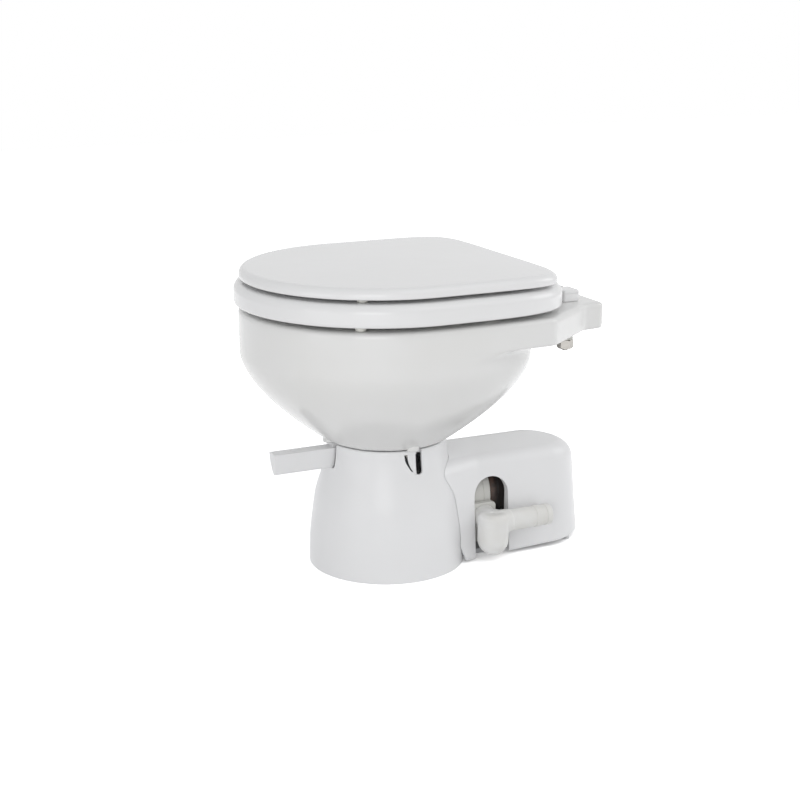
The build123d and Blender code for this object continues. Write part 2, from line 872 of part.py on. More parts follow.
def make_elbow():
    x = elbow_axis_x()
    start = flange_face() + elbow_gap
    low = discharge_level - elbow_low
    body = rod(along_z(x, discharge_y, low), elbow_radius, elbow_low + elbow_high)
    body = fillet(body.edges().sort_by(Axis.Z)[0], elbow_nose_rounding)
    body = fillet(body.edges().sort_by(Axis.Z)[-1], elbow_rounding)
    body += rod(along_x(start, discharge_y, discharge_level), neck_radius, elbow_offset)
    body += rod(along_x(start - elbow_spigot_length, discharge_y, discharge_level), elbow_spigot_radius,
                elbow_spigot_length + elbow_offset)
    body += rod(along_y(discharge_y, x, discharge_level), tail_radius, tail_reach)
    body += rod(along_y(discharge_y, x, discharge_level), tail_collar_radius, tail_collar_reach)
    body -= rod(along_x(start - elbow_spigot_length - overrun, discharge_y, discharge_level),
                elbow_spigot_bore, elbow_spigot_length + elbow_offset + overrun)
    body -= rod(along_y(discharge_y, x, discharge_level), tail_bore, tail_reach + overrun)
    return body


def make_elbow_seal():
    """Seal ring in the port around the elbow's spigot."""
    start = flange_face() - elbow_seal_length
    return ring(along_x(start, discharge_y, discharge_level), port_bore,
                elbow_spigot_radius + swivel_clearance, elbow_seal_length)


def cover_form(inset, low, top, rounding):
    """Cover form with a round rear, flared towards the pedestal and slightly drawn in upwards."""
    half = cover_half_width - inset
    right = [(cover_flare_half_width - inset, cover_front), (half, cover_flare_end), (half, cover_centre)]
    left = [(-x, y) for x, y in reversed(right)]
    plan = make_face(Polyline(*right, *left, close=True))
    plan = fillet(corners_at(plan, cover_flare_end), cover_flare_rounding)
    plan += Pos(0, cover_centre) * Circle(half)
    body = extrude(Pos(0, 0, low) * plan, amount=top - low, taper=cover_draft_angle)
    top_edges = body.faces().sort_by(Axis.Z)[-1].outer_wire().edges()
    top_edges = [edge for edge in top_edges if edge.center().Y > cover_front + overrun / 2]
    return fillet(top_edges, rounding)


def cover_lip_cut():
    """Space in front of the cover's lip, which leans back towards the floor."""
    side = make_face(Plane.YZ * Polyline(
        (cover_front - overrun, -overrun),
        (cover_front + cover_lip_reach, -overrun),
        (cover_front + cover_lip_reach, 0),
        (cover_front, cover_lip_height),
        (cover_front - overrun, cover_lip_height),
        close=True))
    return extrude(side, amount=2 * cover_half_width, both=True)


def cover_screw_tip():
    return cover_rear_outside() - cover_screw_length


def cover_rear_outside():
    """Outside of the cover's rear wall at the screw."""
    return cover_centre + cover_half_width - cover_screw_head_height


def make_pump_cover():
    body = cover_form(0, cover_bottom, cover_top, cover_rounding)
    body -= cover_form(cover_wall, cover_bottom, cover_top - cover_wall, cover_rounding - cover_wall)
    radius = (arch_end - arch_start) / 2
    spring = arch_top - radius
    middle = (arch_start + arch_end) / 2
    body -= block((0, arch_start, cover_bottom - overrun), (cover_half_width + overrun, arch_end, spring))
    body -= rod(along_x(0, middle, spring), radius, cover_half_width + overrun)
    body += rod(along_y(frame_tail_end, 0, cover_screw_height), cover_post_radius,
                cover_centre + cover_half_width - cover_wall - frame_tail_end)
    for x in (-cover_foot_x(), cover_foot_x()):
        body += rod(along_z(x, cover_foot_y, 0), cover_foot_radius, cover_screw_height)
    body -= rod(along_y(frame_tail_end - overrun, 0, cover_screw_height), cover_screw_radius, 3 * overrun)
    body -= rod(along_y(cover_rear_outside(), 0, cover_screw_height), cover_screw_head_radius, overrun)
    return body - cover_lip_cut() - pedestal_form(growth=cover_gap)


def cover_foot_x():
    """Sideways place of the two small feet, under the cover's rear wall."""
    reach = cover_half_width - cover_wall / 2
    return math.sqrt(reach ** 2 - (cover_foot_y - cover_centre) ** 2)


def make_cover_screw():
    shank = rod(along_y(cover_screw_tip(), 0, cover_screw_height), cover_screw_radius, cover_screw_length)
    return shank + rod(along_y(cover_rear_outside(), 0, cover_screw_height), cover_screw_head_radius,
                       cover_screw_head_height)


def hinge_bolt_x():
    """Distance of each hinge bolt from the middle plane."""
    return post_start() + post_width / 2


def seat_knuckle_start():
    return lid_knuckle_start + lid_knuckle_width + knuckle_gap


def post_start():
    return seat_knuckle_start() + seat_knuckle_width + knuckle_gap


def knuckle(start, width, bore):
    """Hinge eye on the right-hand side of the middle plane."""
    plane = along_x(start, hinge_y, hinge_level)
    return rod(plane, knuckle_radius, width), rod(plane, bore, width)


def pin_bore():
    return hinge_pin_radius + running_clearance


def lid_notch():
    """Space in the seat's rear edge for one lid strap."""
    front = lid_rear - riser_depth - riser_gap
    return block((lid_knuckle_start - notch_clearance, front, rim_height),
                 (lid_knuckle_start + lid_knuckle_width + notch_clearance, hinge_y, seat_top + overrun))


def make_seat():
    plan = egg_face(seat_half_width, seat_front, seat_rear, seat_centre, seat_squareness_share,
                    seat_level, seat_outline_point_count)
    body = extrude(plan, amount=seat_thickness, dir=(0, 0, 1))
    body = fillet(body.faces().sort_by(Axis.Z)[-1].outer_wire().edges(), seat_rounding)
    body = fillet(body.faces().sort_by(Axis.Z)[0].outer_wire().edges(), seat_under_rounding)
    hole = egg_face(seat_hole_half_width, seat_hole_front, seat_hole_rear, seat_centre,
                    front_squareness_share, seat_level - overrun, outline_point_count)
    body -= extrude(hole, amount=seat_thickness + 2 * overrun, dir=(0, 0, 1))
    inner = body.faces().sort_by(Axis.Z)[-1].inner_wires()[0].edges()
    body = fillet(inner, seat_hole_rounding)
    start = seat_knuckle_start()
    eye, bore = knuckle(start, seat_knuckle_width, pin_bore())
    arm_low = rim_height + strap_floor_gap
    arm = block((start, seat_rear - seat_arm_overlap, arm_low),
                (start + seat_knuckle_width, hinge_y, hinge_level))
    for piece in both_sides(lid_notch()):
        body -= piece
    for piece in both_sides(arm + eye):
        body += piece
    for piece in both_sides(bore):
        body -= piece
    return body


def make_lid():
    plan = egg_face(lid_half_width, lid_front, lid_rear, lid_centre, lid_squareness_share,
                    lid_level, lid_outline_point_count)
    body = extrude(plan, amount=lid_thickness, dir=(0, 0, 1))
    body = fillet(body.faces().sort_by(Axis.Z)[-1].outer_wire().edges(), lid_rounding)
    body = fillet(body.faces().sort_by(Axis.Z)[0].outer_wire().edges(), lid_under_rounding)
    eye, bore = knuckle(lid_knuckle_start, lid_knuckle_width, pin_bore())
    strap_low = rim_height + strap_floor_gap
    riser_rear = lid_rear - lid_under_rounding
    strap = block((lid_knuckle_start, riser_rear - riser_depth, strap_low),
                  (lid_knuckle_start + lid_knuckle_width, hinge_y, strap_low + strap_thickness))
    riser = block((lid_knuckle_start, riser_rear - riser_depth, strap_low),
                  (lid_knuckle_start + lid_knuckle_width, riser_rear, lid_level + lid_thickness / 2))
    for piece in both_sides(strap + riser + eye):
        body += piece
    for piece in both_sides(bore):
        body -= piece
    return body


def make_bumpers(places, half_width, reach, seated, gap):
    """Rubber buttons let into the underside of a seat or lid."""
    bumpers = []
    for x_share, y_share in places:
        button = rod(along_z(half_width * x_share, reach * y_share, seated - gap + bumper_gap),
                     bumper_radius, gap - bumper_gap)
        bumpers.extend(both_sides(button))
    return joined(bumpers)


def make_seat_bumpers():
    return make_bumpers(seat_bumper_places_shares, seat_half_width, seat_front, seat_level, seat_gap)


def make_lid_bumpers():
    return make_bumpers(lid_bumper_places_shares, lid_half_width, lid_front, lid_level, lid_gap)


def make_hinge_posts():
    low = rim_height
    top = hinge_level + post_rise
    post = block((post_start(), hinge_y - post_depth / 2, low),
                 (post_start() + post_width, hinge_y + post_depth / 2, top))
    edges = post.edges().filter_by(Axis.Z) + post.faces().sort_by(Axis.Z)[-1].edges()
    post = fillet(edges, post_rounding)
    post -= rod(along_x(0, hinge_y, hinge_level), hinge_pin_radius, pin_end())
    post -= rod(along_z(hinge_bolt_x(), hinge_y, low), stud_head_radius, stud_head_height)
    return joined(both_sides(post))


def pin_end():
    return post_start() + post_width - pin_inset


def make_hinge_pins():
    pin = rod(along_x(lid_knuckle_start, hinge_y, hinge_level), hinge_pin_radius,
              pin_end() - lid_knuckle_start)
    return joined(both_sides(pin))


def nut_level():
    return deck_boss_level - stud_washer_thickness - stud_nut_height


def make_hinge_bolts():
    x = hinge_bolt_x()
    low = nut_level() - stud_tip
    bolt = rod(along_z(x, hinge_y, low), stud_radius, rim_height + stud_head_height - low)
    bolt += rod(along_z(x, hinge_y, rim_height), stud_head_radius, stud_head_height)
    return joined(both_sides(bolt))


def make_hinge_washers():
    x = hinge_bolt_x()
    washer = along_z(x, hinge_y, deck_boss_level - stud_washer_thickness) * Cone(
        stud_washer_radius, stud_washer_radius - stud_hole_clearance, stud_washer_thickness,
        align=(Align.CENTER, Align.CENTER, Align.MIN))
    washer -= rod(along_z(x, hinge_y, 0), stud_radius, rim_height)
    return joined(both_sides(washer))


def make_hinge_nuts():
    x = hinge_bolt_x()
    plane = Plane(origin=(x, hinge_y, nut_level()))
    nut = extrude(plane * RegularPolygon(stud_nut_radius, 6), amount=stud_nut_height)
    cone = along_z(x, hinge_y, nut_level()) * Cone(
        stud_radius + stud_hole_clearance, stud_nut_radius + stud_nut_height, stud_nut_height,
        align=(Align.CENTER, Align.CENTER, Align.MIN))
    nut = nut & cone
    nut -= rod(along_z(x, hinge_y, 0), stud_radius, rim_height)
    return joined(both_sides(nut))


def make_rinse_inlet():
    start = rinse_station()
    plane = along_y(start, 0, rinse_height)
    body = rod(plane, rinse_flange_radius, rinse_flange_thickness)
    neck_start = opening_rear
    body += rod(along_y(neck_start, 0, rinse_height), rinse_neck_radius, start - neck_start)
    body += rod(along_y(start + rinse_flange_thickness, 0, rinse_height), rinse_tail_radius, rinse_tail_length)
    body -= rod(along_y(neck_start - overrun, 0, rinse_height), rinse_bore,
                rinse_tail_length + start + 2 * overrun)
    return body


parts = {
    "bowl": make_bowl,
    "pedestal": make_pedestal,
    "bowl_gasket": make_bowl_gasket,
    "bowl_screws": make_bowl_screws,
    "bowl_screw_washers": make_bowl_screw_washers,
    "base_frame": make_base_frame,
    "skirt_screws": make_skirt_screws,
    "waste_sump": make_sump,
    "bowl_outlet_seal": make_bowl_seal,
    "pump_inlet_seal": make_inlet_seal,
    "chopper_housing": make_chopper_housing,
    "cutter_plate": make_cutter_plate,
    "impeller_housing": make_impeller_housing,
    "motor_adapter": make_motor_adapter,
    "pump_screws": make_pump_screws,
    "shaft_seal": make_shaft_seal,
    "motor_shaft": make_shaft,
    "chopper_blade": make_chopper_blade,
    "impeller": make_impeller,
    "armature": make_armature,
    "motor_can": make_motor_can,
    "field_magnets": make_magnets,
    "carbon_brushes": make_brushes,
    "brush_holders": make_brush_holders,
    "motor_end_cap": make_motor_end_cap,
    "cable_gland": make_cable_gland,
    "motor_bearings": make_bearings,
    "motor_pads": make_motor_pads,
    "discharge_elbow": make_elbow,
    "elbow_seal": make_elbow_seal,
    "pump_cover": make_pump_cover,
    "cover_screw": make_cover_screw,
    "seat": make_seat,
    "lid": make_lid,
    "seat_bumpers": make_seat_bumpers,
    "lid_bumpers": make_lid_bumpers,
    "hinge_posts": make_hinge_posts,
    "hinge_pins": make_hinge_pins,
    "hinge_bolts": make_hinge_bolts,
    "hinge_washers": make_hinge_washers,
    "hinge_nuts": make_hinge_nuts,
    "rinse_inlet": make_rinse_inlet,
}

os.makedirs("parts", exist_ok=True)
for name, make in parts.items():
    export_step(make(), "parts/" + name + ".step")
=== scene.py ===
import logging
import math
from dataclasses import dataclass, field
from enum import Enum
from typing import Callable, Iterable, Sequence

import bmesh
import bpy
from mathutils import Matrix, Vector


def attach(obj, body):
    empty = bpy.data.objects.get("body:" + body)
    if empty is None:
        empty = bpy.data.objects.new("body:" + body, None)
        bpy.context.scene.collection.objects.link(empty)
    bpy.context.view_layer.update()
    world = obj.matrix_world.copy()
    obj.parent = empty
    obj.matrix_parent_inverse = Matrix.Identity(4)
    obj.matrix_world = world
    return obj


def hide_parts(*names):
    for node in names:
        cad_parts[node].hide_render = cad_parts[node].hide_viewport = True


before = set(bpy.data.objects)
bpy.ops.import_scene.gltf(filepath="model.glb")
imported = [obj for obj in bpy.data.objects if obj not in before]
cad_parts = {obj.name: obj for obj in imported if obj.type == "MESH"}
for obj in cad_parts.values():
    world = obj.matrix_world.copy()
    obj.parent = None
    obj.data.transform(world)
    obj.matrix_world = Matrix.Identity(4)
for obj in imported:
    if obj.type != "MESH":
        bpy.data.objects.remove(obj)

# Looks of the electric marine toilet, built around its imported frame.
# Sizes are millimetres, as on a drawing; Draw.place turns them into Blender's metres.
# The origin is on the floor in the middle of the pedestal, front towards -Y, up is +Z.

LOG = logging.getLogger("marine_toilet")
MM = 0.001
ROUND = 128
HEXAGON = 6
MULTIPLY = {"operation": "MULTIPLY"}
COLOURS = {"data_type": "RGBA"}

Piece = bpy.types.Object
Tree = bpy.types.NodeTree
Place = tuple[float, float, float]
Pairs = Sequence[tuple[float, float]]
Outline = list[tuple[float, float]]
Ring = list[Vector]


class Along(Enum):
    """Direction in which a turned piece grows from its start."""

    X = "x"
    Y = "y"
    Z = "z"


class Ends(Enum):
    """How a lofted piece is closed."""

    CAPPED = "capped"
    WELDED = "welded"


class Body(Enum):
    """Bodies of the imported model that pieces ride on."""

    BASE = "toilet_base"
    ELBOW = "elbow"
    SEAT = "seat_ring"
    LID = "lid_cover"


class Slot(Enum):
    """Material slots of the record."""

    CHINA = "china"
    WHITE_MOULDING = "white_moulding"
    GREY_MOULDING = "grey_moulding"
    PUMP_WHITE = "pump_white"
    ELBOW_WHITE = "elbow_white"
    SEAT_WHITE = "seat_white"
    MOTOR_BLACK = "motor_black"
    LAMINATIONS = "laminations"
    CARBON = "carbon"
    STAINLESS = "stainless"
    BLACK_RUBBER = "black_rubber"
    CLEAR_RUBBER = "clear_rubber"


# Finishes


@dataclass(frozen=True)
class Finish:
    """What one real finish looks like, as the values its material is built from."""

    slot: Slot
    colour: Place
    tint: Place
    roughness: float
    roughness_spread: float = 0.05
    metallic: float = 0.0
    mottle_scale: float = 14.0
    mottle_amount: float = 0.3
    grain_scale: float = 700.0
    grain_depth: float = 0.00002
    grain_stretch: Place = (1.0, 1.0, 1.0)
    wear: Place = (0.7, 0.7, 0.7)
    wear_amount: float = 0.0
    coat: float = 0.0


FINISHES: tuple[Finish, ...] = (
    Finish(Slot.CHINA, (0.775, 0.775, 0.768), (0.745, 0.74, 0.72), 0.24, 0.01,
           mottle_scale=9.0, mottle_amount=0.5, grain_scale=55.0, grain_depth=0.00004, coat=0.08),
    Finish(Slot.WHITE_MOULDING, (0.82, 0.822, 0.83), (0.79, 0.79, 0.79), 0.3, 0.08,
           mottle_scale=11.0, grain_scale=900.0, grain_depth=0.00003,
           wear=(0.86, 0.86, 0.87), wear_amount=0.25),
    Finish(Slot.GREY_MOULDING, (0.52, 0.53, 0.54), (0.47, 0.48, 0.49), 0.55, 0.1,
           grain_scale=800.0, grain_depth=0.00006, wear=(0.62, 0.63, 0.64), wear_amount=0.3),
    Finish(Slot.PUMP_WHITE, (0.70, 0.70, 0.67), (0.63, 0.62, 0.58), 0.46, 0.1,
           grain_scale=850.0, grain_depth=0.00005, wear=(0.76, 0.75, 0.72), wear_amount=0.3),
    Finish(Slot.ELBOW_WHITE, (0.79, 0.79, 0.78), (0.66, 0.64, 0.58), 0.38, 0.08,
           mottle_scale=22.0, mottle_amount=0.45, grain_scale=900.0, grain_depth=0.00004,
           wear=(0.84, 0.84, 0.83), wear_amount=0.25),
    Finish(Slot.SEAT_WHITE, (0.82, 0.82, 0.823), (0.79, 0.79, 0.785), 0.24, 0.03,
           mottle_scale=8.0, mottle_amount=0.4, grain_scale=70.0, grain_depth=0.00010,
           wear=(0.85, 0.85, 0.85), wear_amount=0.15, coat=0.1),
    Finish(Slot.MOTOR_BLACK, (0.018, 0.018, 0.019), (0.03, 0.03, 0.03), 0.42, 0.12,
           grain_scale=900.0, grain_depth=0.00008, wear=(0.26, 0.13, 0.08), wear_amount=0.4),
    Finish(Slot.LAMINATIONS, (0.20, 0.19, 0.18), (0.14, 0.13, 0.12), 0.45, 0.12, metallic=0.9,
           grain_scale=500.0, grain_depth=0.00012, grain_stretch=(0.05, 1.0, 0.05),
           wear=(0.4, 0.38, 0.36), wear_amount=0.3),
    Finish(Slot.CARBON, (0.035, 0.035, 0.037), (0.06, 0.06, 0.062), 0.6, 0.1,
           grain_scale=1200.0, grain_depth=0.00005),
    Finish(Slot.STAINLESS, (0.34, 0.33, 0.31), (0.24, 0.22, 0.20), 0.28, 0.14, metallic=1.0,
           grain_scale=600.0, grain_stretch=(1.0, 1.0, 0.06),
           wear=(0.62, 0.60, 0.57), wear_amount=0.35),
    Finish(Slot.BLACK_RUBBER, (0.028, 0.028, 0.028), (0.045, 0.045, 0.044), 0.72, 0.1,
           grain_depth=0.00007),
    Finish(Slot.CLEAR_RUBBER, (0.70, 0.70, 0.66), (0.62, 0.61, 0.56), 0.35, 0.08,
           grain_scale=600.0, grain_depth=0.00003),
)


class Nodes:
    """Steps for building node trees, shared by the finishes and the studio."""

    @staticmethod
    def fill(node: bpy.types.Node, **values: object) -> None:
        """Sets inputs of a node.

        Args:
            node: The node.
            **values: Value of each input, with _ for a space; a colour is three numbers.
        """
        for name, value in values.items():
            socket = node.inputs[name.replace("_", " ")]
            socket.default_value = (*value, 1.0) if socket.type == "RGBA" else value

    @staticmethod
    def add(tree: Tree, kind: str, settings: dict[str, object] | None = None,
            **values: object) -> bpy.types.Node:
        """Adds one shader node.

        Args:
            tree: The node tree.
            kind: Type of the node, without ShaderNode in front.
            settings: Its settings, such as an operation.
            **values: Values of its inputs, as in fill.

        Returns:
            The node.
        """
        node = tree.nodes.new("ShaderNode" + kind)
        for name, value in (settings or {}).items():
            setattr(node, name, value)
        Nodes.fill(node, **values)
        return node

    @staticmethod
    def link(tree: Tree, *wires: tuple) -> None:
        """Joins sockets, each wire being a node, its output, another node and its input."""
        for source, output, target, entry in wires:
            tree.links.new(source.outputs[output], target.inputs[entry])

    @staticmethod
    def group(name: str, inputs: dict[str, str], outputs: dict[str, str]) -> tuple:
        """Makes an empty shader group.

        Args:
            name: Name of the group.
            inputs: Socket type of each named input.
            outputs: Socket type of each named output.

        Returns:
            The node tree with its input node and output node.
        """
        tree = bpy.data.node_groups.new(name, "ShaderNodeTree")
        for direction, sockets in (("INPUT", inputs), ("OUTPUT", outputs)):
            for socket, kind in sockets.items():
                tree.interface.new_socket(name=socket, in_out=direction,
                                          socket_type="NodeSocket" + kind)
        return tree, tree.nodes.new("NodeGroupInput"), tree.nodes.new("NodeGroupOutput")


class FinishShop:
    """Builds the materials, with their shared effects as node groups."""

    def __init__(self) -> None:
        """Makes the shared groups and starts with no material."""
        self.made: dict[Slot, bpy.types.Material] = {}
        self.mottle = self._mottle_group()
        self.grain = self._grain_group()
        self.wear = self._wear_group()
        self.sheen = self._sheen_group()

    @staticmethod
    def _mottle_group() -> Tree:
        """Slow change between two tones of one colour.

        Returns:
            The node group.
        """
        tree, given, result = Nodes.group(
            "slow_mottle", {"Vector": "Vector", "Colour": "Color", "Tint": "Color",
                            "Scale": "Float", "Amount": "Float"}, {"Colour": "Color"})
        noise = Nodes.add(tree, "TexNoise", Detail=3.0)
        spread = Nodes.add(tree, "MapRange", From_Min=0.35, From_Max=0.65)
        share, mix = Nodes.add(tree, "Math", MULTIPLY), Nodes.add(tree, "Mix", COLOURS)
        Nodes.link(tree, (given, "Vector", noise, "Vector"), (given, "Scale", noise, "Scale"),
                   (noise, "Fac", spread, "Value"), (spread, "Result", share, 0),
                   (given, "Amount", share, 1), (share, 0, mix, "Factor"),
                   (given, "Colour", mix, "A"), (given, "Tint", mix, "B"),
                   (mix, "Result", result, "Colour"))
        return tree

    @staticmethod
    def _grain_group() -> Tree:
        """Fine relief of a moulded, glazed or brushed surface, as a normal.

        Returns:
            The node group.
        """
        tree, given, result = Nodes.group(
            "surface_grain", {"Vector": "Vector", "Scale": "Float", "Depth": "Float"},
            {"Normal": "Vector"})
        noise = Nodes.add(tree, "TexNoise", Detail=2.0, Roughness=0.45)
        bump = Nodes.add(tree, "Bump", Strength=0.6)
        Nodes.link(tree, (given, "Vector", noise, "Vector"), (given, "Scale", noise, "Scale"),
                   (given, "Depth", bump, "Distance"), (noise, "Fac", bump, "Height"),
                   (bump, "Normal", result, "Normal"))
        return tree

    @staticmethod
    def _wear_group() -> Tree:
        """Slightly rubbed outer edges, broken up by noise.

        Returns:
            The node group.
        """
        tree, given, result = Nodes.group(
            "rubbed_edges", {"Vector": "Vector", "Colour": "Color", "Wear": "Color",
                             "Amount": "Float"}, {"Colour": "Color"})
        geometry = Nodes.add(tree, "NewGeometry")
        edge = Nodes.add(tree, "MapRange", From_Min=0.52, From_Max=0.62)
        noise = Nodes.add(tree, "TexNoise", Scale=180.0)
        broken, share = Nodes.add(tree, "Math", MULTIPLY), Nodes.add(tree, "Math", MULTIPLY)
        mix = Nodes.add(tree, "Mix", COLOURS)
        Nodes.link(tree, (geometry, "Pointiness", edge, "Value"),
                   (given, "Vector", noise, "Vector"), (edge, "Result", broken, 0),
                   (noise, "Fac", broken, 1), (broken, 0, share, 0),
                   (given, "Amount", share, 1), (share, 0, mix, "Factor"),
                   (given, "Colour", mix, "A"), (given, "Wear", mix, "B"),
                   (mix, "Result", result, "Colour"))
        return tree

    @staticmethod
    def _sheen_group() -> Tree:
        """Roughness that changes a little over the surface.

        Returns:
            The node group.
        """
        tree, given, result = Nodes.group(
            "sheen_break", {"Vector": "Vector", "Roughness": "Float", "Spread": "Float"},
            {"Roughness": "Float"})
        noise = Nodes.add(tree, "TexNoise", Scale=35.0, Detail=4.0)
        spread = Nodes.add(tree, "Math", {"operation": "MULTIPLY_ADD"})
        Nodes.link(tree, (given, "Vector", noise, "Vector"), (noise, "Fac", spread, 0),
                   (given, "Spread", spread, 1), (given, "Roughness", spread, 2),
                   (spread, 0, result, "Roughness"))
        return tree

    def material(self, slot: Slot) -> bpy.types.Material:
        """Gives the material of a slot, and builds it the first time.

        Args:
            slot: The record's material slot.

        Returns:
            The material.
        """
        if slot not in self.made:
            self.made[slot] = self._build(next(f for f in FINISHES if f.slot is slot))
        return self.made[slot]

    def _build(self, finish: Finish) -> bpy.types.Material:
        """Builds one material from its finish.

        Args:
            finish: The values of the finish.

        Returns:
            The new material.
        """
        material = bpy.data.materials.new(finish.slot.value)
        material.use_nodes = True
        tree = material.node_tree
        shader = tree.nodes["Principled BSDF"]
        Nodes.fill(shader, Metallic=finish.metallic, Coat_Weight=finish.coat, Coat_Roughness=0.05)
        place = Nodes.add(tree, "TexCoord")
        stretch = Nodes.add(tree, "Mapping", Scale=finish.grain_stretch)
        mottle = Nodes.add(tree, "Group", {"node_tree": self.mottle}, Colour=finish.colour,
                           Tint=finish.tint, Scale=finish.mottle_scale,
                           Amount=finish.mottle_amount)
        wear = Nodes.add(tree, "Group", {"node_tree": self.wear}, Wear=finish.wear,
                         Amount=finish.wear_amount)
        grain = Nodes.add(tree, "Group", {"node_tree": self.grain}, Scale=finish.grain_scale,
                          Depth=finish.grain_depth)
        sheen = Nodes.add(tree, "Group", {"node_tree": self.sheen}, Roughness=finish.roughness,
                          Spread=finish.roughness_spread)
        Nodes.link(tree, *((place, "Object", node, "Vector")
                           for node in (stretch, mottle, wear, sheen)),
                   (stretch, "Vector", grain, "Vector"), (mottle, "Colour", wear, "Colour"),
                   (wear, "Colour", shader, "Base Color"),
                   (sheen, "Roughness", shader, "Roughness"), (grain, "Normal", shader, "Normal"))
        return material


# Outlines and rings


class Draw:
    """Outlines and rings that the pieces are lofted through."""

    @staticmethod
    def place(x: float, y: float, z: float) -> Vector:
        """Turns millimetres into a point in metres."""
        return Vector((x * MM, y * MM, z * MM))

    @staticmethod
    def egg(half_width: float, front: float, rear: float, centre: float, squareness: float,
            level: float) -> Ring:
        """Plan outline with a round front and a squarer rear.

        Args:
            half_width: Half the width.
            front: Distance from the origin to the front.
            rear: Distance from the origin to the rear.
            centre: Place from front to rear where the outline is widest.
            squareness: Power of the rear half; 2 is an ellipse.
            level: Height of the ring.

        Returns:
            The ring.
        """
        ring = []
        for index in range(ROUND):
            angle = 2 * math.pi * index / ROUND
            across, along = abs(math.cos(angle)), abs(math.sin(angle))
            behind = math.sin(angle) > 0
            power, reach = (squareness, rear - centre) if behind else (2.0, front + centre)
            size = ((across / half_width) ** power + (along / reach) ** power) ** (-1 / power)
            ring.append(Draw.place(size * math.cos(angle), centre + size * math.sin(angle), level))
        return ring

    @staticmethod
    def circle(radius: float, start: Place, along: Along = Along.Z, distance: float = 0.0,
               count: int = ROUND) -> Ring:
        """Round ring across an axis.

        Args:
            radius: Radius of the ring.
            start: Where the axis starts.
            along: Direction of the axis.
            distance: How far along the axis the ring lies.
            count: Number of points.

        Returns:
            The ring.
        """
        x, y, z = start
        ring = []
        for index in range(count):
            angle = 2 * math.pi * index / count
            u, v = radius * math.cos(angle), radius * math.sin(angle)
            ring.append({Along.X: Draw.place(x + distance, y + u, z + v),
                         Along.Y: Draw.place(x + u, y + distance, z + v),
                         Along.Z: Draw.place(x + u, y + v, z + distance)}[along])
        return ring

    @staticmethod
    def level(outline: Outline, z: float | Callable[[float], float]) -> Ring:
        """Lays a plan outline at one height, or at a height that changes with Y."""
        return [Draw.place(x, y, z(y) if callable(z) else z) for x, y in outline]

    @staticmethod
    def rounded(bends: Sequence[Place], steps: int = 8) -> Outline:
        """Closed outline whose corners are rounded.

        Args:
            bends: X, Y and rounding of each corner.
            steps: Number of steps in each rounding.

        Returns:
            The outline.
        """
        outline = []
        for index, (x, y, radius) in enumerate(bends):
            here = Vector((x, y))
            if radius <= 0:
                outline.append((x, y))
                continue
            before = (Vector(bends[index - 1][:2]) - here).normalized()
            after = (Vector(bends[(index + 1) % len(bends)][:2]) - here).normalized()
            half = before.angle(after) / 2
            centre = here + (before + after).normalized() * (radius / math.sin(half))
            start = here + before * (radius / math.tan(half)) - centre
            end = here + after * (radius / math.tan(half)) - centre
            for step in range(steps + 1):
                spoke = start.lerp(end, step / steps).normalized() * radius
                outline.append(tuple(centre + spoke))
        return outline

    @staticmethod
    def quarter(radius: float, steps: int) -> Outline:
        """Steps of a rounded edge, each as how far it is drawn in and how far it has risen."""
        turns = [math.pi / 2 * step / steps for step in range(steps + 1)]
        return [(radius * (1 - math.cos(turn)), radius * math.sin(turn)) for turn in turns]

    @staticmethod
    def curve(points: Pairs, steps: int) -> Outline:
        """Smooth line through given points.

        Args:
            points: The points in order.
            steps: Number of steps between two points.

        Returns:
            The points of the line.
        """
        ends = [points[0], *points, points[-1]]
        line = []
        for a, b, c, d in zip(ends, ends[1:], ends[2:], ends[3:]):
            for step in range(steps):
                t = step / steps
                line.append(tuple(
                    0.5 * (2 * q + (r - p) * t + (2 * p - 5 * q + 4 * r - s) * t * t
                           + (3 * q - p - 3 * r + s) * t ** 3)
                    for p, q, r, s in zip(a, b, c, d)))
        line.append(tuple(points[-1]))
        return line


# Modelling steps


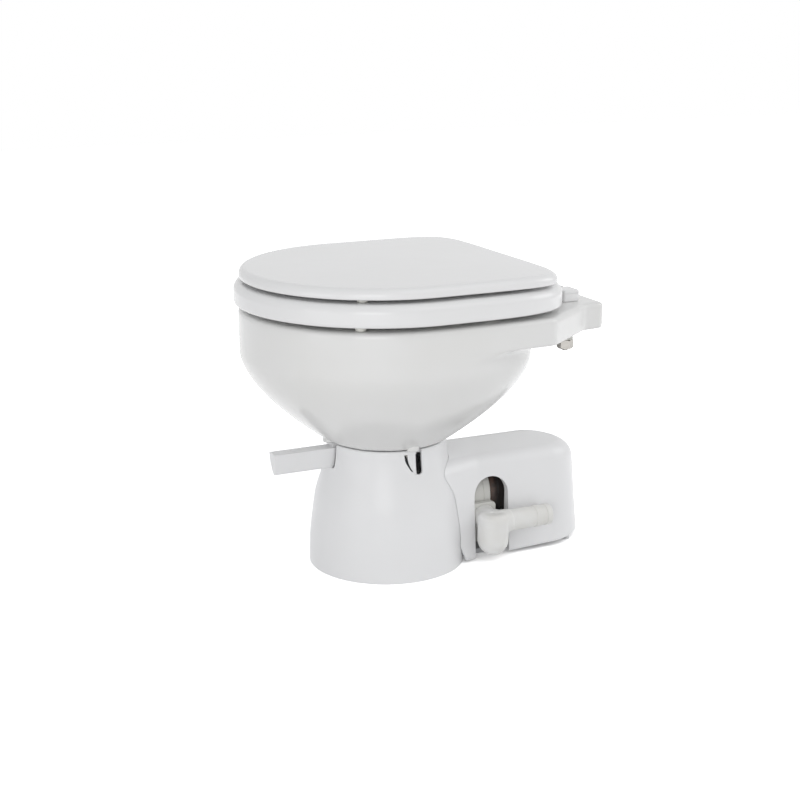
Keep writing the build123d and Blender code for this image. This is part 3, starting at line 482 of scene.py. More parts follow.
class Bench:
    """Modelling steps shared by every sub-assembly, done with Blender's own operators."""

    @staticmethod
    def clear() -> None:
        """Leaves edit mode and deselects every object."""
        if bpy.context.mode != "OBJECT":
            bpy.ops.object.mode_set(mode="OBJECT")
        bpy.ops.object.select_all(action="DESELECT")

    @staticmethod
    def take(piece: Piece) -> None:
        """Makes one object the only selected and active one.

        Args:
            piece: The object.
        """
        Bench.clear()
        piece.select_set(True)
        bpy.context.view_layer.objects.active = piece

    @staticmethod
    def loft(name: str, rings: Sequence[Ring], ends: Ends = Ends.CAPPED) -> Piece:
        """Extrudes a circle, ring by ring, through a row of outlines.

        Args:
            name: Name of the piece.
            rings: Outlines with the same number of points.
            ends: Whether the ends are capped, or the last ring is welded to the first.

        Returns:
            The closed piece.
        """
        Bench.clear()
        bpy.ops.mesh.primitive_circle_add(vertices=len(rings[0]), radius=1, fill_type="NOTHING")
        piece = bpy.context.active_object
        piece.name = piece.data.name = name
        for vertex, spot in zip(piece.data.vertices, rings[0]):
            vertex.co = spot
        bpy.ops.object.mode_set(mode="EDIT")
        bpy.ops.mesh.select_mode(type="VERT")
        bpy.ops.mesh.select_all(action="SELECT")
        route = [*rings, rings[0]] if ends is Ends.WELDED else list(rings)
        for previous, ring in zip(route, route[1:]):
            bpy.ops.mesh.extrude_region_move()
            mesh = bmesh.from_edit_mesh(piece.data)
            spots = {old.to_tuple(6): new for old, new in zip(previous, ring)}
            for vertex in mesh.verts:
                if vertex.select:
                    vertex.co = spots[vertex.co.to_tuple(6)]
            bmesh.update_edit_mesh(piece.data)
        bpy.ops.mesh.select_all(action="SELECT")
        bpy.ops.mesh.remove_doubles(threshold=0.000001)
        bpy.ops.mesh.select_all(action="DESELECT")
        bpy.ops.mesh.select_non_manifold(extend=False)
        if ends is Ends.CAPPED:
            bpy.ops.mesh.fill_holes(sides=0)
        bpy.ops.mesh.select_all(action="SELECT")
        bpy.ops.mesh.normals_make_consistent(inside=False)
        bpy.ops.object.mode_set(mode="OBJECT")
        return piece

    @staticmethod
    def turned(name: str, start: Place, along: Along, profile: Pairs, count: int = 48,
               ends: Ends = Ends.CAPPED) -> Piece:
        """Turned piece from its profile of distances along the axis and radii."""
        rings = [Draw.circle(radius, start, along, distance, count)
                 for distance, radius in profile]
        return Bench.loft(name, rings, ends)

    @staticmethod
    def rod(name: str, start: Place, along: Along, length: float, radius: float,
            count: int = 32) -> Piece:
        """Plain round rod, mostly to cut a hole with."""
        return Bench.turned(name, start, along, ((0, radius), (length, radius)), count)

    @staticmethod
    def prism(name: str, outline: Pairs, start: float, end: float) -> Piece:
        """Upright outline of Y and Z, drawn out from one X to another."""
        rings = [[Draw.place(x, y, z) for y, z in outline] for x in (start, end)]
        return Bench.loft(name, rings)

    @staticmethod
    def block(name: str, low: Place, high: Place) -> Piece:
        """Box between two corners, as a start for other steps.

        Args:
            name: Name of the piece.
            low: Its lowest corner.
            high: Its highest corner.

        Returns:
            The box.
        """
        Bench.clear()
        bpy.ops.mesh.primitive_cube_add(size=1)
        piece = bpy.context.active_object
        piece.name = piece.data.name = name
        for vertex in piece.data.vertices:
            vertex.co = Draw.place(*(top if share > 0 else bottom
                                     for share, bottom, top in zip(vertex.co, low, high)))
        return piece

    @staticmethod
    def apply(piece: Piece, kind: str, **settings: object) -> None:
        """Adds one modifier and applies it.

        Args:
            piece: The object.
            kind: Type of the modifier.
            **settings: Its settings.
        """
        Bench.take(piece)
        modifier = piece.modifiers.new(kind.lower(), kind)
        for name, value in settings.items():
            setattr(modifier, name, value)
        bpy.ops.object.modifier_apply(modifier=modifier.name)

    @staticmethod
    def combine(piece: Piece, others: Iterable[Piece], operation: str = "UNION") -> Piece:
        """Adds other solids to a piece, or cuts them out of it.

        Args:
            piece: The object that stays.
            others: The objects that are used up.
            operation: UNION, DIFFERENCE or INTERSECT.

        Returns:
            The piece.
        """
        for other in others:
            Bench.apply(piece, "BOOLEAN", object=other, operation=operation, solver="EXACT")
            bpy.data.objects.remove(other, do_unlink=True)
        return piece

    @staticmethod
    def joined(name: str, pieces: Sequence[Piece]) -> Piece:
        """Joins separate solids into one object.

        Args:
            name: Name of the object.
            pieces: The solids.

        Returns:
            The joined object.
        """
        Bench.take(pieces[0])
        for piece in pieces:
            piece.select_set(True)
        bpy.ops.object.join()
        pieces[0].name = pieces[0].data.name = name
        return pieces[0]

    @staticmethod
    def soften(piece: Piece, width: float, segments: int = 2, angle: float = 35.0) -> None:
        """Rounds the edges of a piece that are sharper than an angle in degrees."""
        Bench.apply(piece, "BEVEL", width=width * MM, segments=segments, limit_method="ANGLE",
                    angle_limit=math.radians(angle), miter_outer="MITER_ARC")

    @staticmethod
    def cast(piece: Piece, voxel: float, rounds: int) -> None:
        """Gives a piece one even skin with soft inner corners, as a casting has."""
        Bench.apply(piece, "REMESH", mode="VOXEL", voxel_size=voxel * MM)
        Bench.apply(piece, "SMOOTH", factor=0.5, iterations=rounds)

    @staticmethod
    def shade(piece: Piece, angle: float) -> None:
        """Shades smooth, except over sharp edges.

        Args:
            piece: The object.
            angle: Edges sharper than this many degrees stay sharp.
        """
        Bench.take(piece)
        bpy.ops.object.shade_smooth_by_angle(angle=math.radians(angle))
        Bench.apply(piece, "WEIGHTED_NORMAL", keep_sharp=True, weight=60)

    @staticmethod
    def both_sides(piece: Piece) -> list[Piece]:
        """Copies a right-hand piece to the other side of the middle plane.

        Args:
            piece: The right-hand piece.

        Returns:
            The left-hand piece, with its own mesh, and the right-hand one.
        """
        twin = bpy.data.objects.new(piece.name + "_left", piece.data.copy())
        bpy.context.scene.collection.objects.link(twin)
        for vertex in twin.data.vertices:
            vertex.co.x = -vertex.co.x
        Bench.take(twin)
        bpy.ops.object.mode_set(mode="EDIT")
        bpy.ops.mesh.select_all(action="SELECT")
        bpy.ops.mesh.flip_normals()
        bpy.ops.object.mode_set(mode="OBJECT")
        return [twin, piece]

    @staticmethod
    def swung(piece: Piece, degrees: float) -> Piece:
        """Turns a piece about the upright axis through the origin.

        Args:
            piece: The object.
            degrees: How far it turns.

        Returns:
            The same piece.
        """
        cos, sin = math.cos(math.radians(degrees)), math.sin(math.radians(degrees))
        for vertex in piece.data.vertices:
            x, y = vertex.co.x, vertex.co.y
            vertex.co.x, vertex.co.y = x * cos - y * sin, x * sin + y * cos
        return piece


@dataclass
class SubAssembly:
    """A group of pieces that is modelled and dressed together."""

    shop: FinishShop

    def hand_over(self, piece: Piece, body: Body, slot: Slot, node: str,
                  smooth: float = 32.0) -> None:
        """Shades and dresses a finished piece, and ties it to the frame.

        Args:
            piece: The finished object.
            body: The body it rides on.
            slot: The material slot it takes its finish from.
            node: The CAD node that it stands for.
            smooth: Edges sharper than this many degrees stay sharp.
        """
        Bench.shade(piece, smooth)
        piece.data.materials.clear()
        piece.data.materials.append(self.shop.material(slot))
        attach(piece, body.value)
        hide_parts(node)
        LOG.info("%s rides on %s, %d faces", piece.name, body.value, len(piece.data.polygons))


# Bowl


@dataclass
class Bowl(SubAssembly):
    """China bowl with its rear deck, its screws and its rinse inlet."""

    foot_level: float = 149.5
    foot_radius: float = 70.0
    band_level: float = 253.0
    half_width: float = 156.5
    front: float = 166.0
    rear: float = 152.0
    centre: float = -5.0
    flare_steps: int = 26
    rim_level: float = 303.0
    rim_rounding: float = 4.0
    rim_wall: float = 30.0
    lip: float = 6.0
    slab_depth: float = 30.5
    slab_edge: float = 1.5
    shoulder_y: float = 128.0
    deck_half_width: float = 105.0
    deck_start: float = 197.0
    deck_end: float = 224.0
    cove_radius: float = 14.0
    hollow_rear: float = 116.0
    floor_level: float = 164.5
    outlet_radius: float = 23.0
    spigot_radius: float = 28.0
    spigot_level: float = 127.5
    hinge_y: float = 190.0
    bolt_x: float = 75.0
    rinse_level: float = 246.0
    rinse_start: float = 156.0
    screw_level: float = 141.8
    screw_radius: float = 2.9
    screw_places: Pairs = ((57.5, 0), (0, 57.5), (-57.5, 0), (0, -57.5))
    lug_places: Pairs = ((71.2, -1.2), (1.2, 71.2), (-71.2, 1.2), (-1.2, -71.2))

    @property
    def wide(self) -> Place:
        """Half width, front and rear of the bowl's band."""
        return self.half_width, self.front, self.rear

    def flare(self, curve: float, small: float, wide: Place, low: float) -> list[Ring]:
        """Rings of the bowl's flare, from its foot to the upright band.

        Args:
            curve: How quickly it widens.
            small: Radius at the foot.
            wide: Half width, front and rear at the top.
            low: Height of the foot.

        Returns:
            The rings, the lowest first.
        """
        rings = []
        for step in range(self.flare_steps + 1):
            share = step / self.flare_steps
            growth = 1 - (1 - share) ** curve
            half, front, rear = (small + (reach - small) * growth for reach in wide)
            rings.append(Draw.egg(half, front, rear, self.centre * growth, 2 + 0.6 * growth,
                                  low + (self.band_level - low) * share))
        return rings

    def rim(self, wide: Place, inset: float, level: float) -> Ring:
        """Outline of the upright band, drawn in by an inset."""
        half, front, rear = (reach - inset for reach in wide)
        return Draw.egg(half, front, rear, self.centre, 2.6, level)

    def outside(self) -> Piece:
        """Lofts the outside of the bowl.

        Returns:
            The solid.
        """
        rings = self.flare(1.6, self.foot_radius, self.wide, self.foot_level)
        rings[0] = Draw.circle(self.foot_radius - 1.2, (0, 0, self.foot_level))
        rings.insert(1, Draw.circle(self.foot_radius, (0, 0, self.foot_level + 1.0)))
        rings += [self.rim(self.wide, 0, self.band_level + rise) for rise in (12, 24, 36)]
        return Bench.loft("bowl_china", rings)

    def hollow(self) -> Piece:
        """Lofts the hollow of the bowl, with a rounded lip at the rim.

        Returns:
            The solid to cut out.
        """
        wide = (self.half_width - self.rim_wall, self.front - self.rim_wall, self.hollow_rear)
        rings = self.flare(2.6, self.outlet_radius + 1.2, wide, self.floor_level)
        rings += [self.rim(wide, 0, self.band_level + rise) for rise in (15, 30)]
        rings += [self.rim(wide, -(self.lip - rise), self.rim_level - inset)
                  for inset, rise in reversed(Draw.quarter(self.lip, 5))]
        rings.append(self.rim(wide, -self.lip, self.rim_level + 20))
        return Bench.loft("hollow", rings)

    def front_arc(self, half: float, reach: float, steps: Iterable[int]) -> Outline:
        """Front half of the slab's plan, from left to right, in 72 steps or some of them."""
        turns = (math.pi * (1 + step / 72) for step in steps)
        return [(half * math.cos(turn), self.centre + reach * math.sin(turn)) for turn in turns]

    def slab_plan(self, inset: float) -> Outline:
        """Plan of the rim slab and of the deck behind it.

        Args:
            inset: How far it is drawn in.

        Returns:
            The outline.
        """
        half, deck = self.half_width + 0.2 - inset, self.deck_half_width - inset
        side = [(half, self.shoulder_y - 0.34 * inset, 14 - inset),
                (deck, self.deck_start - 0.34 * inset, 10 + inset),
                (deck, self.deck_end - inset, 9 - inset)]
        around = [(half, self.centre, 0), *side,
                  *((-x, y, radius) for x, y, radius in reversed(side)), (-half, self.centre, 0)]
        reach = self.front + self.centre + 0.2 - inset
        return Draw.rounded(around) + self.front_arc(half, reach, range(1, 72))

    def underside(self, y: float) -> float:
        """Height of the slab's underside, which rises a little under the deck."""
        rise = max(0.0, (y - self.deck_start) / (self.deck_end - self.deck_start))
        return self.rim_level - self.slab_depth + rise

    def slab(self) -> Piece:
        """Flat slab of the rim, which runs on behind the bowl as the deck under the hinge.

        Returns:
            The solid.
        """
        edge = self.slab_edge
        rings = [Draw.level(self.slab_plan(inset),
                            lambda y, lift=rise: self.underside(y) + edge - lift)
                 for inset, rise in reversed(Draw.quarter(edge, 2))]
        rings += [Draw.level(self.slab_plan(inset), self.rim_level - self.rim_rounding + rise)
                  for inset, rise in Draw.quarter(self.rim_rounding, 5)]
        return Bench.loft("slab", rings)

    def cove(self) -> Piece:
        """Hollow rounding between the bowl and the underside of the slab.

        Returns:
            The solid.
        """
        radius, top = self.cove_radius, self.rim_level - self.slab_depth + 1.0
        rings = [self.rim(self.wide, radius * (math.cos(turn) - 1),
                          top - radius * (1 - math.sin(turn)))
                 for turn in (math.pi / 2 * step / 8 for step in range(9))]
        cove = Bench.loft("cove", [self.rim(self.wide, 6, self.band_level), *rings,
                                   self.rim(self.wide, 6, top + 6)])
        half = self.half_width - 0.4
        outline = self.front_arc(half, self.front + self.centre - 0.4, range(73))
        outline += [(half, self.shoulder_y), (self.deck_half_width, self.deck_start - 1.0),
                    (-self.deck_half_width, self.deck_start - 1.0), (-half, self.shoulder_y)]
        trim = Bench.loft("trim", [Draw.level(outline, level) for level in (200.0, 300.0)])
        return Bench.combine(cove, [trim], "INTERSECT")

    def holes(self) -> list[Piece]:
        """Solids to cut out: the outlet bore and the rinse, bolt and screw holes.

        Returns:
            The solids.
        """
        cuts = [Bench.rod("bore", (0, 0, 100), Along.Z, 80, self.outlet_radius, 64),
                Bench.rod("rinse", (0, 60, self.rinse_level), Along.Y, 140, 8)]
        cuts += [Bench.rod("bolt", (x, self.hinge_y, 240), Along.Z, 90, 5)
                 for x in (-self.bolt_x, self.bolt_x)]
        return cuts + [Bench.rod("screw", (x, y, 140), Along.Z, 20.5, self.screw_radius, 24)
                       for x, y in self.screw_places]

    def lug(self, x: float, y: float) -> Piece:
        """Round-topped lug on the foot, over one screw."""
        profile = [(0.13, 6.3), (0.8, 7.0),
                   *((5.1 + rise, 7.1 - inset) for inset, rise in Draw.quarter(7.0, 8))]
        return Bench.turned("lug", (x, y, self.foot_level), Along.Z, profile, 40)

    def china(self) -> None:
        """Models the china bowl."""
        bowl = self.outside()
        added = [self.slab(), self.cove(),
                 Bench.turned("pad", (0, 131, self.rinse_level), Along.Y,
                              ((0, 16.5), (24.4, 15), (25, 14.4)))]
        added += [Bench.turned("boss", (x, self.hinge_y, 265), Along.Z,
                               ((0, 10.4), (0.6, 11), (30, 11.6)), 40)
                  for x in (-self.bolt_x, self.bolt_x)]
        outer = self.spigot_radius
        added.append(Bench.turned("spigot", (0, 0, self.spigot_level), Along.Z,
                                  ((0, outer - 1), (1.2, outer), (40, outer)), 64))
        Bench.combine(bowl, added)
        Bench.combine(bowl, [self.hollow(), *self.holes()], "DIFFERENCE")
        Bench.cast(bowl, 2.3, 5)
        Bench.combine(bowl, [self.lug(x, y) for x, y in self.lug_places])
        self.hand_over(bowl, Body.BASE, Slot.CHINA, "bowl", 60)

    def screws(self) -> None:
        """Models the screws under the foot and their washers."""
        level, head_height = self.screw_level, 4
        thread = [(-0.2, self.screw_radius), *((0.5 * step, self.screw_radius - 0.35 * (step % 2))
                                               for step in range(37))]
        ring = ((0, 2.95), (0, 5.9), (0.3, 6.2), (0.9, 6.2), (1.2, 5.9), (1.2, 2.95))
        screws, washers = [], []
        for x, y in self.screw_places:
            screw = Bench.loft("head", [
                Draw.circle(radius, (x, y, level - head_height + rise), count=HEXAGON)
                for radius, rise in ((4.5, 0), (5.0, 0.4), (5.0, 3.7), (4.7, head_height))])
            Bench.soften(screw, 0.2, 1)
            shank = Bench.turned("shank", (x, y, level), Along.Z, thread, 20)
            screws.append(Bench.combine(screw, [shank]))
            washers.append(Bench.turned("washer", (x, y, level), Along.Z, ring, 40, Ends.WELDED))
        for name, pieces, node in (("bowl_fixing_screws", screws, "bowl_screws"),
                                   ("bowl_fixing_washers", washers, "bowl_screw_washers")):
            self.hand_over(Bench.joined(name, pieces), Body.BASE, Slot.STAINLESS, node)

    def rinse_inlet(self) -> None:
        """Models the rinse hose tail with its flange and barbs."""
        profile = [(-40, 7.7), (-0.02, 7.7), (0, 12.6), (0.4, 13), (2.6, 13), (3, 12.6), (3, 9.5),
                   (17, 9.5)]
        for barb in (17, 23, 29):
            profile += [(barb, 9.0), (barb + 1, 9.5), (barb + 5.6, 8.9)]
        profile += [(36.4, 8.9), (37, 8.3), (37, 6.5), (-40, 6.5)]
        piece = Bench.turned("rinse_tail", (0, self.rinse_start, self.rinse_level), Along.Y,
                             profile, 64, Ends.WELDED)
        self.hand_over(piece, Body.BASE, Slot.ELBOW_WHITE, "rinse_inlet")

    def build(self) -> None:
        """Models the bowl and its small parts."""
        self.china()
        self.screws()
        self.rinse_inlet()


# Pedestal


@dataclass
class Pedestal(SubAssembly):
    """Flared pedestal with four pointed pockets for the bowl's screws."""

    height: float = 148.0
    foot_radius: float = 90.0
    neck_radius: float = 68.5
    wall: float = 4.5
    top_thickness: float = 5.0
    opening_radius: float = 33.0
    edge: float = 1.0
    screw_circle: float = 57.5
    pocket_depth: float = 27.0
    shares: Pairs = ((0.0, 1.0), (0.2, 0.97), (0.32, 0.9), (0.47, 0.76), (0.58, 0.64),
                     (0.7, 0.38), (0.8, 0.17), (0.9, 0.05), (1.0, 0.0))

    def flare(self, growth: float) -> Outline:
        """Profile of the flare from the floor up, let out by a growth, as height and radius."""
        span = self.foot_radius - self.neck_radius
        return Draw.curve([(self.height * up, self.neck_radius + growth + span * out)
                           for up, out in self.shares], 5)

    def form(self, growth: float) -> Piece:
        """Solid of the whole flare, to cut or trim with."""
        return Bench.turned("flare", (0, 0, 0), Along.Z, self.flare(growth), ROUND)

    def pocket(self, angle: float) -> list[Piece]:
        """Solids that cut one pocket: slot, space inside, pointed edge and shallow scoop.

        Args:
            angle: Direction of the pocket in degrees.

        Returns:
            The solids.
        """
        top, low, outside = self.height + 2.0, self.height - self.pocket_depth, 140
        under = self.height - self.top_thickness + 0.9
        space = Bench.block("space", (48, -12.3, low - 3), (72, 18, under - 0.5))
        Bench.combine(space, [self.form(-2.9)], "INTERSECT")
        left = [(-9.8, under), (-9.7, low + 20), (-9.1, low + 16), (-7.8, low + 12.6),
                (-5.6, low + 8.8), (-2.9, low + 4.5), (0, low + 1.6), (2.4, low - 1)]
        right = [(0.2, low + 3.4), (-2.3, low + 7.4), (-4.4, low + 13), (-5.2, low + 18),
                 (-5.2, under)]
        edge = Bench.prism("edge", [*left[:-1], *right], 56, outside)
        scoop = Bench.prism("scoop", [*left, (6.0, low - 0.4), (8.0, low + 3), (8.0, under)],
                            50, outside)
        Bench.combine(scoop, [self.form(-1.7)], "DIFFERENCE")
        bends = [(4.4, low - 1.4, 2.4), (11.7, low - 0.6, 4.0), (11.7, top, 0), (4.4, top, 0)]
        slot = Bench.prism("slot", Draw.rounded(bends, 6), 61.7, outside)
        return [Bench.swung(piece, angle) for piece in (slot, space, edge, scoop)]

    def tab(self, angle: float) -> Piece:
        """Foot tab inside the skirt for one of its screws."""
        tab = Bench.swung(Bench.block("tab", (66, -8, 6), (90, 8, 10)), angle)
        return Bench.combine(tab, [self.form(-2.0)], "INTERSECT")

    def build(self) -> None:
        """Models the pedestal."""
        outer, under = self.flare(0), self.height - self.top_thickness
        inner = [(up, radius) for up, radius in self.flare(-self.wall) if up < under - 1]
        profile = [(0, outer[0][1] - 0.8), (0.8, outer[0][1]), *outer[1:-1],
                   (self.height - self.edge, self.neck_radius),
                   (self.height, self.neck_radius - self.edge),
                   (self.height, self.opening_radius + self.edge),
                   (self.height - self.edge, self.opening_radius), (under, self.opening_radius),
                   (under, self.neck_radius - self.wall), *reversed(inner[1:]),
                   (0.6, inner[0][1]), (0, inner[0][1] + 0.6)]
        skirt = Bench.turned("pedestal_skirt", (0, 0, 0), Along.Z, profile, ROUND, Ends.WELDED)
        Bench.combine(skirt, [self.tab(angle) for angle in (210, 270, 330)])
        cuts = [Bench.block("rear", (-38.5, 57.5, -20), (38.5, 110, 108))]
        for angle in (0, 90, 180, 270):
            cuts += self.pocket(angle)
            turn, reach = math.radians(angle), self.screw_circle
            cuts.append(Bench.rod("hole", (reach * math.cos(turn), reach * math.sin(turn), 100),
                                  Along.Z, 60, 3.3, 24))
        Bench.combine(skirt, cuts, "DIFFERENCE")
        self.hand_over(skirt, Body.BASE, Slot.WHITE_MOULDING, "pedestal", 40)


# Pump cover


@dataclass
class PumpCover(SubAssembly):
    """Cover behind the pedestal, with an arch for the discharge elbow."""

    pedestal: Pedestal
    half_width: float = 55.0
    centre: float = 194.5
    top: float = 122.0
    bottom: float = 3.0
    wall: float = 3.0
    rounding: float = 17.0
    draft: float = 4.2
    front: float = 30.0
    flare_half_width: float = 73.0
    flare_end: float = 96.0
    top_fall: float = 7.0
    fall_start: float = 180.0
    bottom_slope: float = 0.062
    slope_start: float = 138.0
    arch_y: float = 110.75
    arch_radius: float = 22.75
    arch_spring: float = 74.25
    foot_x: float = 39.5
    screw_level: float = 14.0

    def plan(self, inset: float) -> Outline:
        """Plan of the cover, drawn in.

        Args:
            inset: How far it is drawn in.

        Returns:
            The outline.
        """
        half, flare = self.half_width - inset, self.flare_half_width - inset
        right = Draw.rounded([(0, self.front, 0), (flare, self.front, 0),
                              (half, self.flare_end, 30), (half, self.centre, 0)])[1:]
        arc = [(half * math.cos(turn), self.centre + half * math.sin(turn))
               for turn in (math.pi * step / 40 for step in range(1, 40))]
        return right + arc + [(-x, y) for x, y in reversed(right)]

    def fall(self, y: float) -> float:
        """How far the top has fallen off at one place towards the rear."""
        return self.top_fall * (max(0.0, y - self.fall_start) / 69.0) ** 2

    def form(self, inset: float, low: float, top: float, rounding: float) -> Piece:
        """Solid of the cover's form.

        Args:
            inset: How far it is drawn in.
            low: Height of its underside.
            top: Height of its top.
            rounding: Rounding of its top edge.

        Returns:
            The solid.
        """
        draft, edge = math.tan(math.radians(self.draft)), top - rounding
        middle = (low + edge) / 2
        rings = [Draw.level(self.plan(inset), lambda y: low + self.bottom_slope
                            * max(0.0, y - self.slope_start)),
                 Draw.level(self.plan(inset + draft * (low + edge) / 2), middle)]
        rings += [Draw.level(self.plan(inset + draft * (edge + rise - low) + drawn),
                             lambda y, level=edge + rise: level - self.fall(y))
                  for drawn, rise in Draw.quarter(rounding, 9)]
        return Bench.loft("cover_form", rings)

    def arch(self) -> Piece:
        """Solid that cuts the arch for the elbow.

        Returns:
            The solid.
        """
        middle, radius = self.arch_y, self.arch_radius
        outline = [(middle - radius, -20.0), (middle + radius, -20.0)]
        outline += [(middle + radius * math.cos(turn), self.arch_spring + radius * math.sin(turn))
                    for turn in (math.pi * step / 24 for step in range(25))]
        return Bench.prism("arch", outline, 0, 80)

    def shell(self) -> None:
        """Models the cover itself."""
        shell = self.form(0, self.bottom, self.top, self.rounding)
        inside = self.form(self.wall, self.bottom - 1, self.top - self.wall,
                           self.rounding - self.wall)
        Bench.combine(shell, [inside], "DIFFERENCE")
        feet = [Bench.turned("foot", (x, 222, 0), Along.Z,
                             ((0, 3.1), (0.4, 3.5), (13.6, 3.5), (14, 3.1)), 24)
                for x in (-self.foot_x, self.foot_x)]
        post = Bench.rod("post", (0, 221, self.screw_level), Along.Y, 25.5, 6)
        surround = Bench.block("surround", (41, 84, 6), (62, 138, 101))
        Bench.combine(surround, [self.form(1.2, self.bottom, self.top, self.rounding)],
                      "INTERSECT")
        Bench.combine(shell, [*feet, post, surround])
        lip = Bench.prism("lip", [(10, -20), (75, -20), (75, 0), (30, 104), (10, 104)], -100, 100)
        Bench.combine(shell, [
            self.arch(), lip, self.pedestal.form(0.4),
            Bench.rod("hole", (0, 200, self.screw_level), Along.Y, 60, 2.2, 24),
            Bench.rod("sink", (0, 247, self.screw_level), Along.Y, 20, 4.5)], "DIFFERENCE")
        shell.name = shell.data.name = "cover_shell"
        self.hand_over(shell, Body.BASE, Slot.WHITE_MOULDING, "pump_cover", 40)

    def screw(self) -> None:
        """Models the pan head screw at the rear of the cover."""
        level = self.screw_level
        screw = Bench.turned(
            "cover_fixing_screw", (0, 217, level), Along.Y,
            ((0, 1.2), (1.5, 2.15), (29.98, 2.15), (30, 4.45), (31.1, 4.4), (32, 3.6),
             (32.5, 2.2)), 32)
        cross = [Bench.block("slot", (-w, 248.2, level - h), (w, 254, level + h))
                 for w, h in ((0.4, 2.4), (2.4, 0.4))]
        Bench.combine(screw, cross, "DIFFERENCE")
        self.hand_over(screw, Body.BASE, Slot.STAINLESS, "cover_screw")

    def build(self) -> None:
        """Models the cover and its screw."""
        self.shell()
        self.screw()


# Seat and lid


@dataclass
class SeatAndLid(SubAssembly):
    """Seat ring and lid with their buttons, straps and hinge."""

    rim_level: float = 303.0
    seat_level: float = 309.0
    seat_top: float = 333.0
    lid_level: float = 337.0
    lid_top: float = 350.0
    lid_recess: float = 2.0
    hinge_y: float = 190.0
    hinge_level: float = 311.0
    lid_eye_start: float = 31.0
    seat_eye_start: float = 47.0
    post_start: float = 63.0
    post_width: float = 24.0
    post_top: float = 316.5
    washer_level: float = 258.5
    nut_height: float = 11.0
    bolt_radius: float = 4.0

    def eye(self, start: float) -> Piece:
        """Hinge eye without its bore, on the right-hand side."""
        return Bench.turned("eye", (start, self.hinge_y, self.hinge_level), Along.X,
                            ((0, 5.9), (0.5, 6.4), (14.5, 6.4), (15, 5.9)), 40)

    def with_arms(self, plate: Piece, arm: Piece, start: float) -> None:
        """Joins a hinge arm and its eye to both sides of a plate.

        Args:
            plate: The seat or the lid.
            arm: Its right-hand arm.
            start: Where the eye starts.
        """
        Bench.soften(arm, 0.8)
        Bench.combine(arm, [self.eye(start)])
        Bench.combine(plate, Bench.both_sides(arm))
        bore = Bench.rod("bore", (start - 5, self.hinge_y, self.hinge_level), Along.X, 25, 3.05)
        Bench.combine(plate, Bench.both_sides(bore), "DIFFERENCE")

    def seat(self) -> None:
        """Models the seat ring."""
        def outer(inset: float, level: float) -> Ring:
            """Outer outline at one level."""
            return Draw.egg(161 - inset, 171 - inset, 171 - inset, -6, 4.2, level)

        def inner(inset: float, level: float) -> Ring:
            """Outline of the hole at one level."""
            return Draw.egg(104 + inset, 116 + inset, 96 + inset, -6, 2.0, level)

        low, top = self.seat_level, self.seat_top
        rings = [outer(inset, low + 3 - rise) for inset, rise in reversed(Draw.quarter(3.0, 3))]
        rings += [outer(0, level) for level in (315.5, 319.5)]
        rings += [outer(inset, top - 9.5 + rise) for inset, rise in Draw.quarter(9.5, 9)]
        rings += [outer(22, top)]
        rings += [inner(inset, top - 7 + rise) for inset, rise in reversed(Draw.quarter(7.0, 7))]
        rings += [inner(inset, low + 2 - rise) for inset, rise in Draw.quarter(2.0, 3)]
        seat = Bench.loft("seat_shell", rings, Ends.WELDED)
        notch = Bench.block("notch", (29, 140, self.rim_level), (48, self.hinge_y, top + 20))
        Bench.combine(seat, Bench.both_sides(notch), "DIFFERENCE")
        arm = Bench.block("arm", (self.seat_eye_start, 153, self.rim_level + 1.8),
                          (62, self.hinge_y, self.hinge_level))
        self.with_arms(seat, arm, self.seat_eye_start)
        Bench.soften(seat, 0.8, angle=40)
        self.hand_over(seat, Body.SEAT, Slot.SEAT_WHITE, "seat", 40)

    def lid(self) -> None:
        """Models the lid, slightly crowned above and recessed below."""
        def outline(inset: float, level: float) -> Ring:
            """Outline at one level."""
            return Draw.egg(152.5 - inset, 165 - inset, 152 - inset, -8, 7.5, level)

        low, top, crown = self.lid_level, self.lid_top, 1.2
        rings = [outline(140, low + self.lid_recess), outline(52, low + self.lid_recess),
                 outline(50, low)]
        rings += [outline(inset, low + 2 - rise) for inset, rise in reversed(Draw.quarter(2.0, 3))]
        rings += [outline(inset, top - 8.0 - crown + rise) for inset, rise in Draw.quarter(8.0, 9)]
        rings += [outline(inset, top - crown + crown * (1 - ((145 - inset) / 137) ** 2))
                  for inset in (20, 45, 80, 115, 140)]
        lid = Bench.loft("lid_shell", rings)
        strap_low, left = self.rim_level + 1.8, self.lid_eye_start
        strap = Bench.block("strap", (left, 141, strap_low), (46, self.hinge_y, strap_low + 5.5))
        riser = Bench.block("riser", (left, 141, strap_low), (46, 150, 343.5))
        Bench.combine(strap, [riser])
        self.with_arms(lid, strap, self.lid_eye_start)
        Bench.soften(lid, 0.6, angle=40)
        self.hand_over(lid, Body.LID, Slot.SEAT_WHITE, "lid", 40)

    def buttons(self, name: str, body: Body, node: str, level: float, height: float,
                places: Pairs) -> None:
        """Models the soft buttons under the seat or the lid.

        Args:
            name: Name of the piece.
            body: The body it rides on.
            node: The CAD node that it stands for.
            level: Height that the buttons hang from.
            height: How far they hang down.
            places: X and Y of the buttons on the right-hand side.
        """
        shoulder = 1.2 - height
        profile = [(0, 6), (shoulder, 6), *((shoulder - rise, 6 - inset)
                                            for inset, rise in Draw.quarter(1.2, 3)[1:]),
                   (-height, 2.2), (0.8 - height, 1.8)]
        pieces = [Bench.turned("button", (side, y, level), Along.Z, profile, 32)
                  for x, y in places for side in (-x, x)]
        self.hand_over(Bench.joined(name, pieces), body, Slot.CLEAR_RUBBER, node)

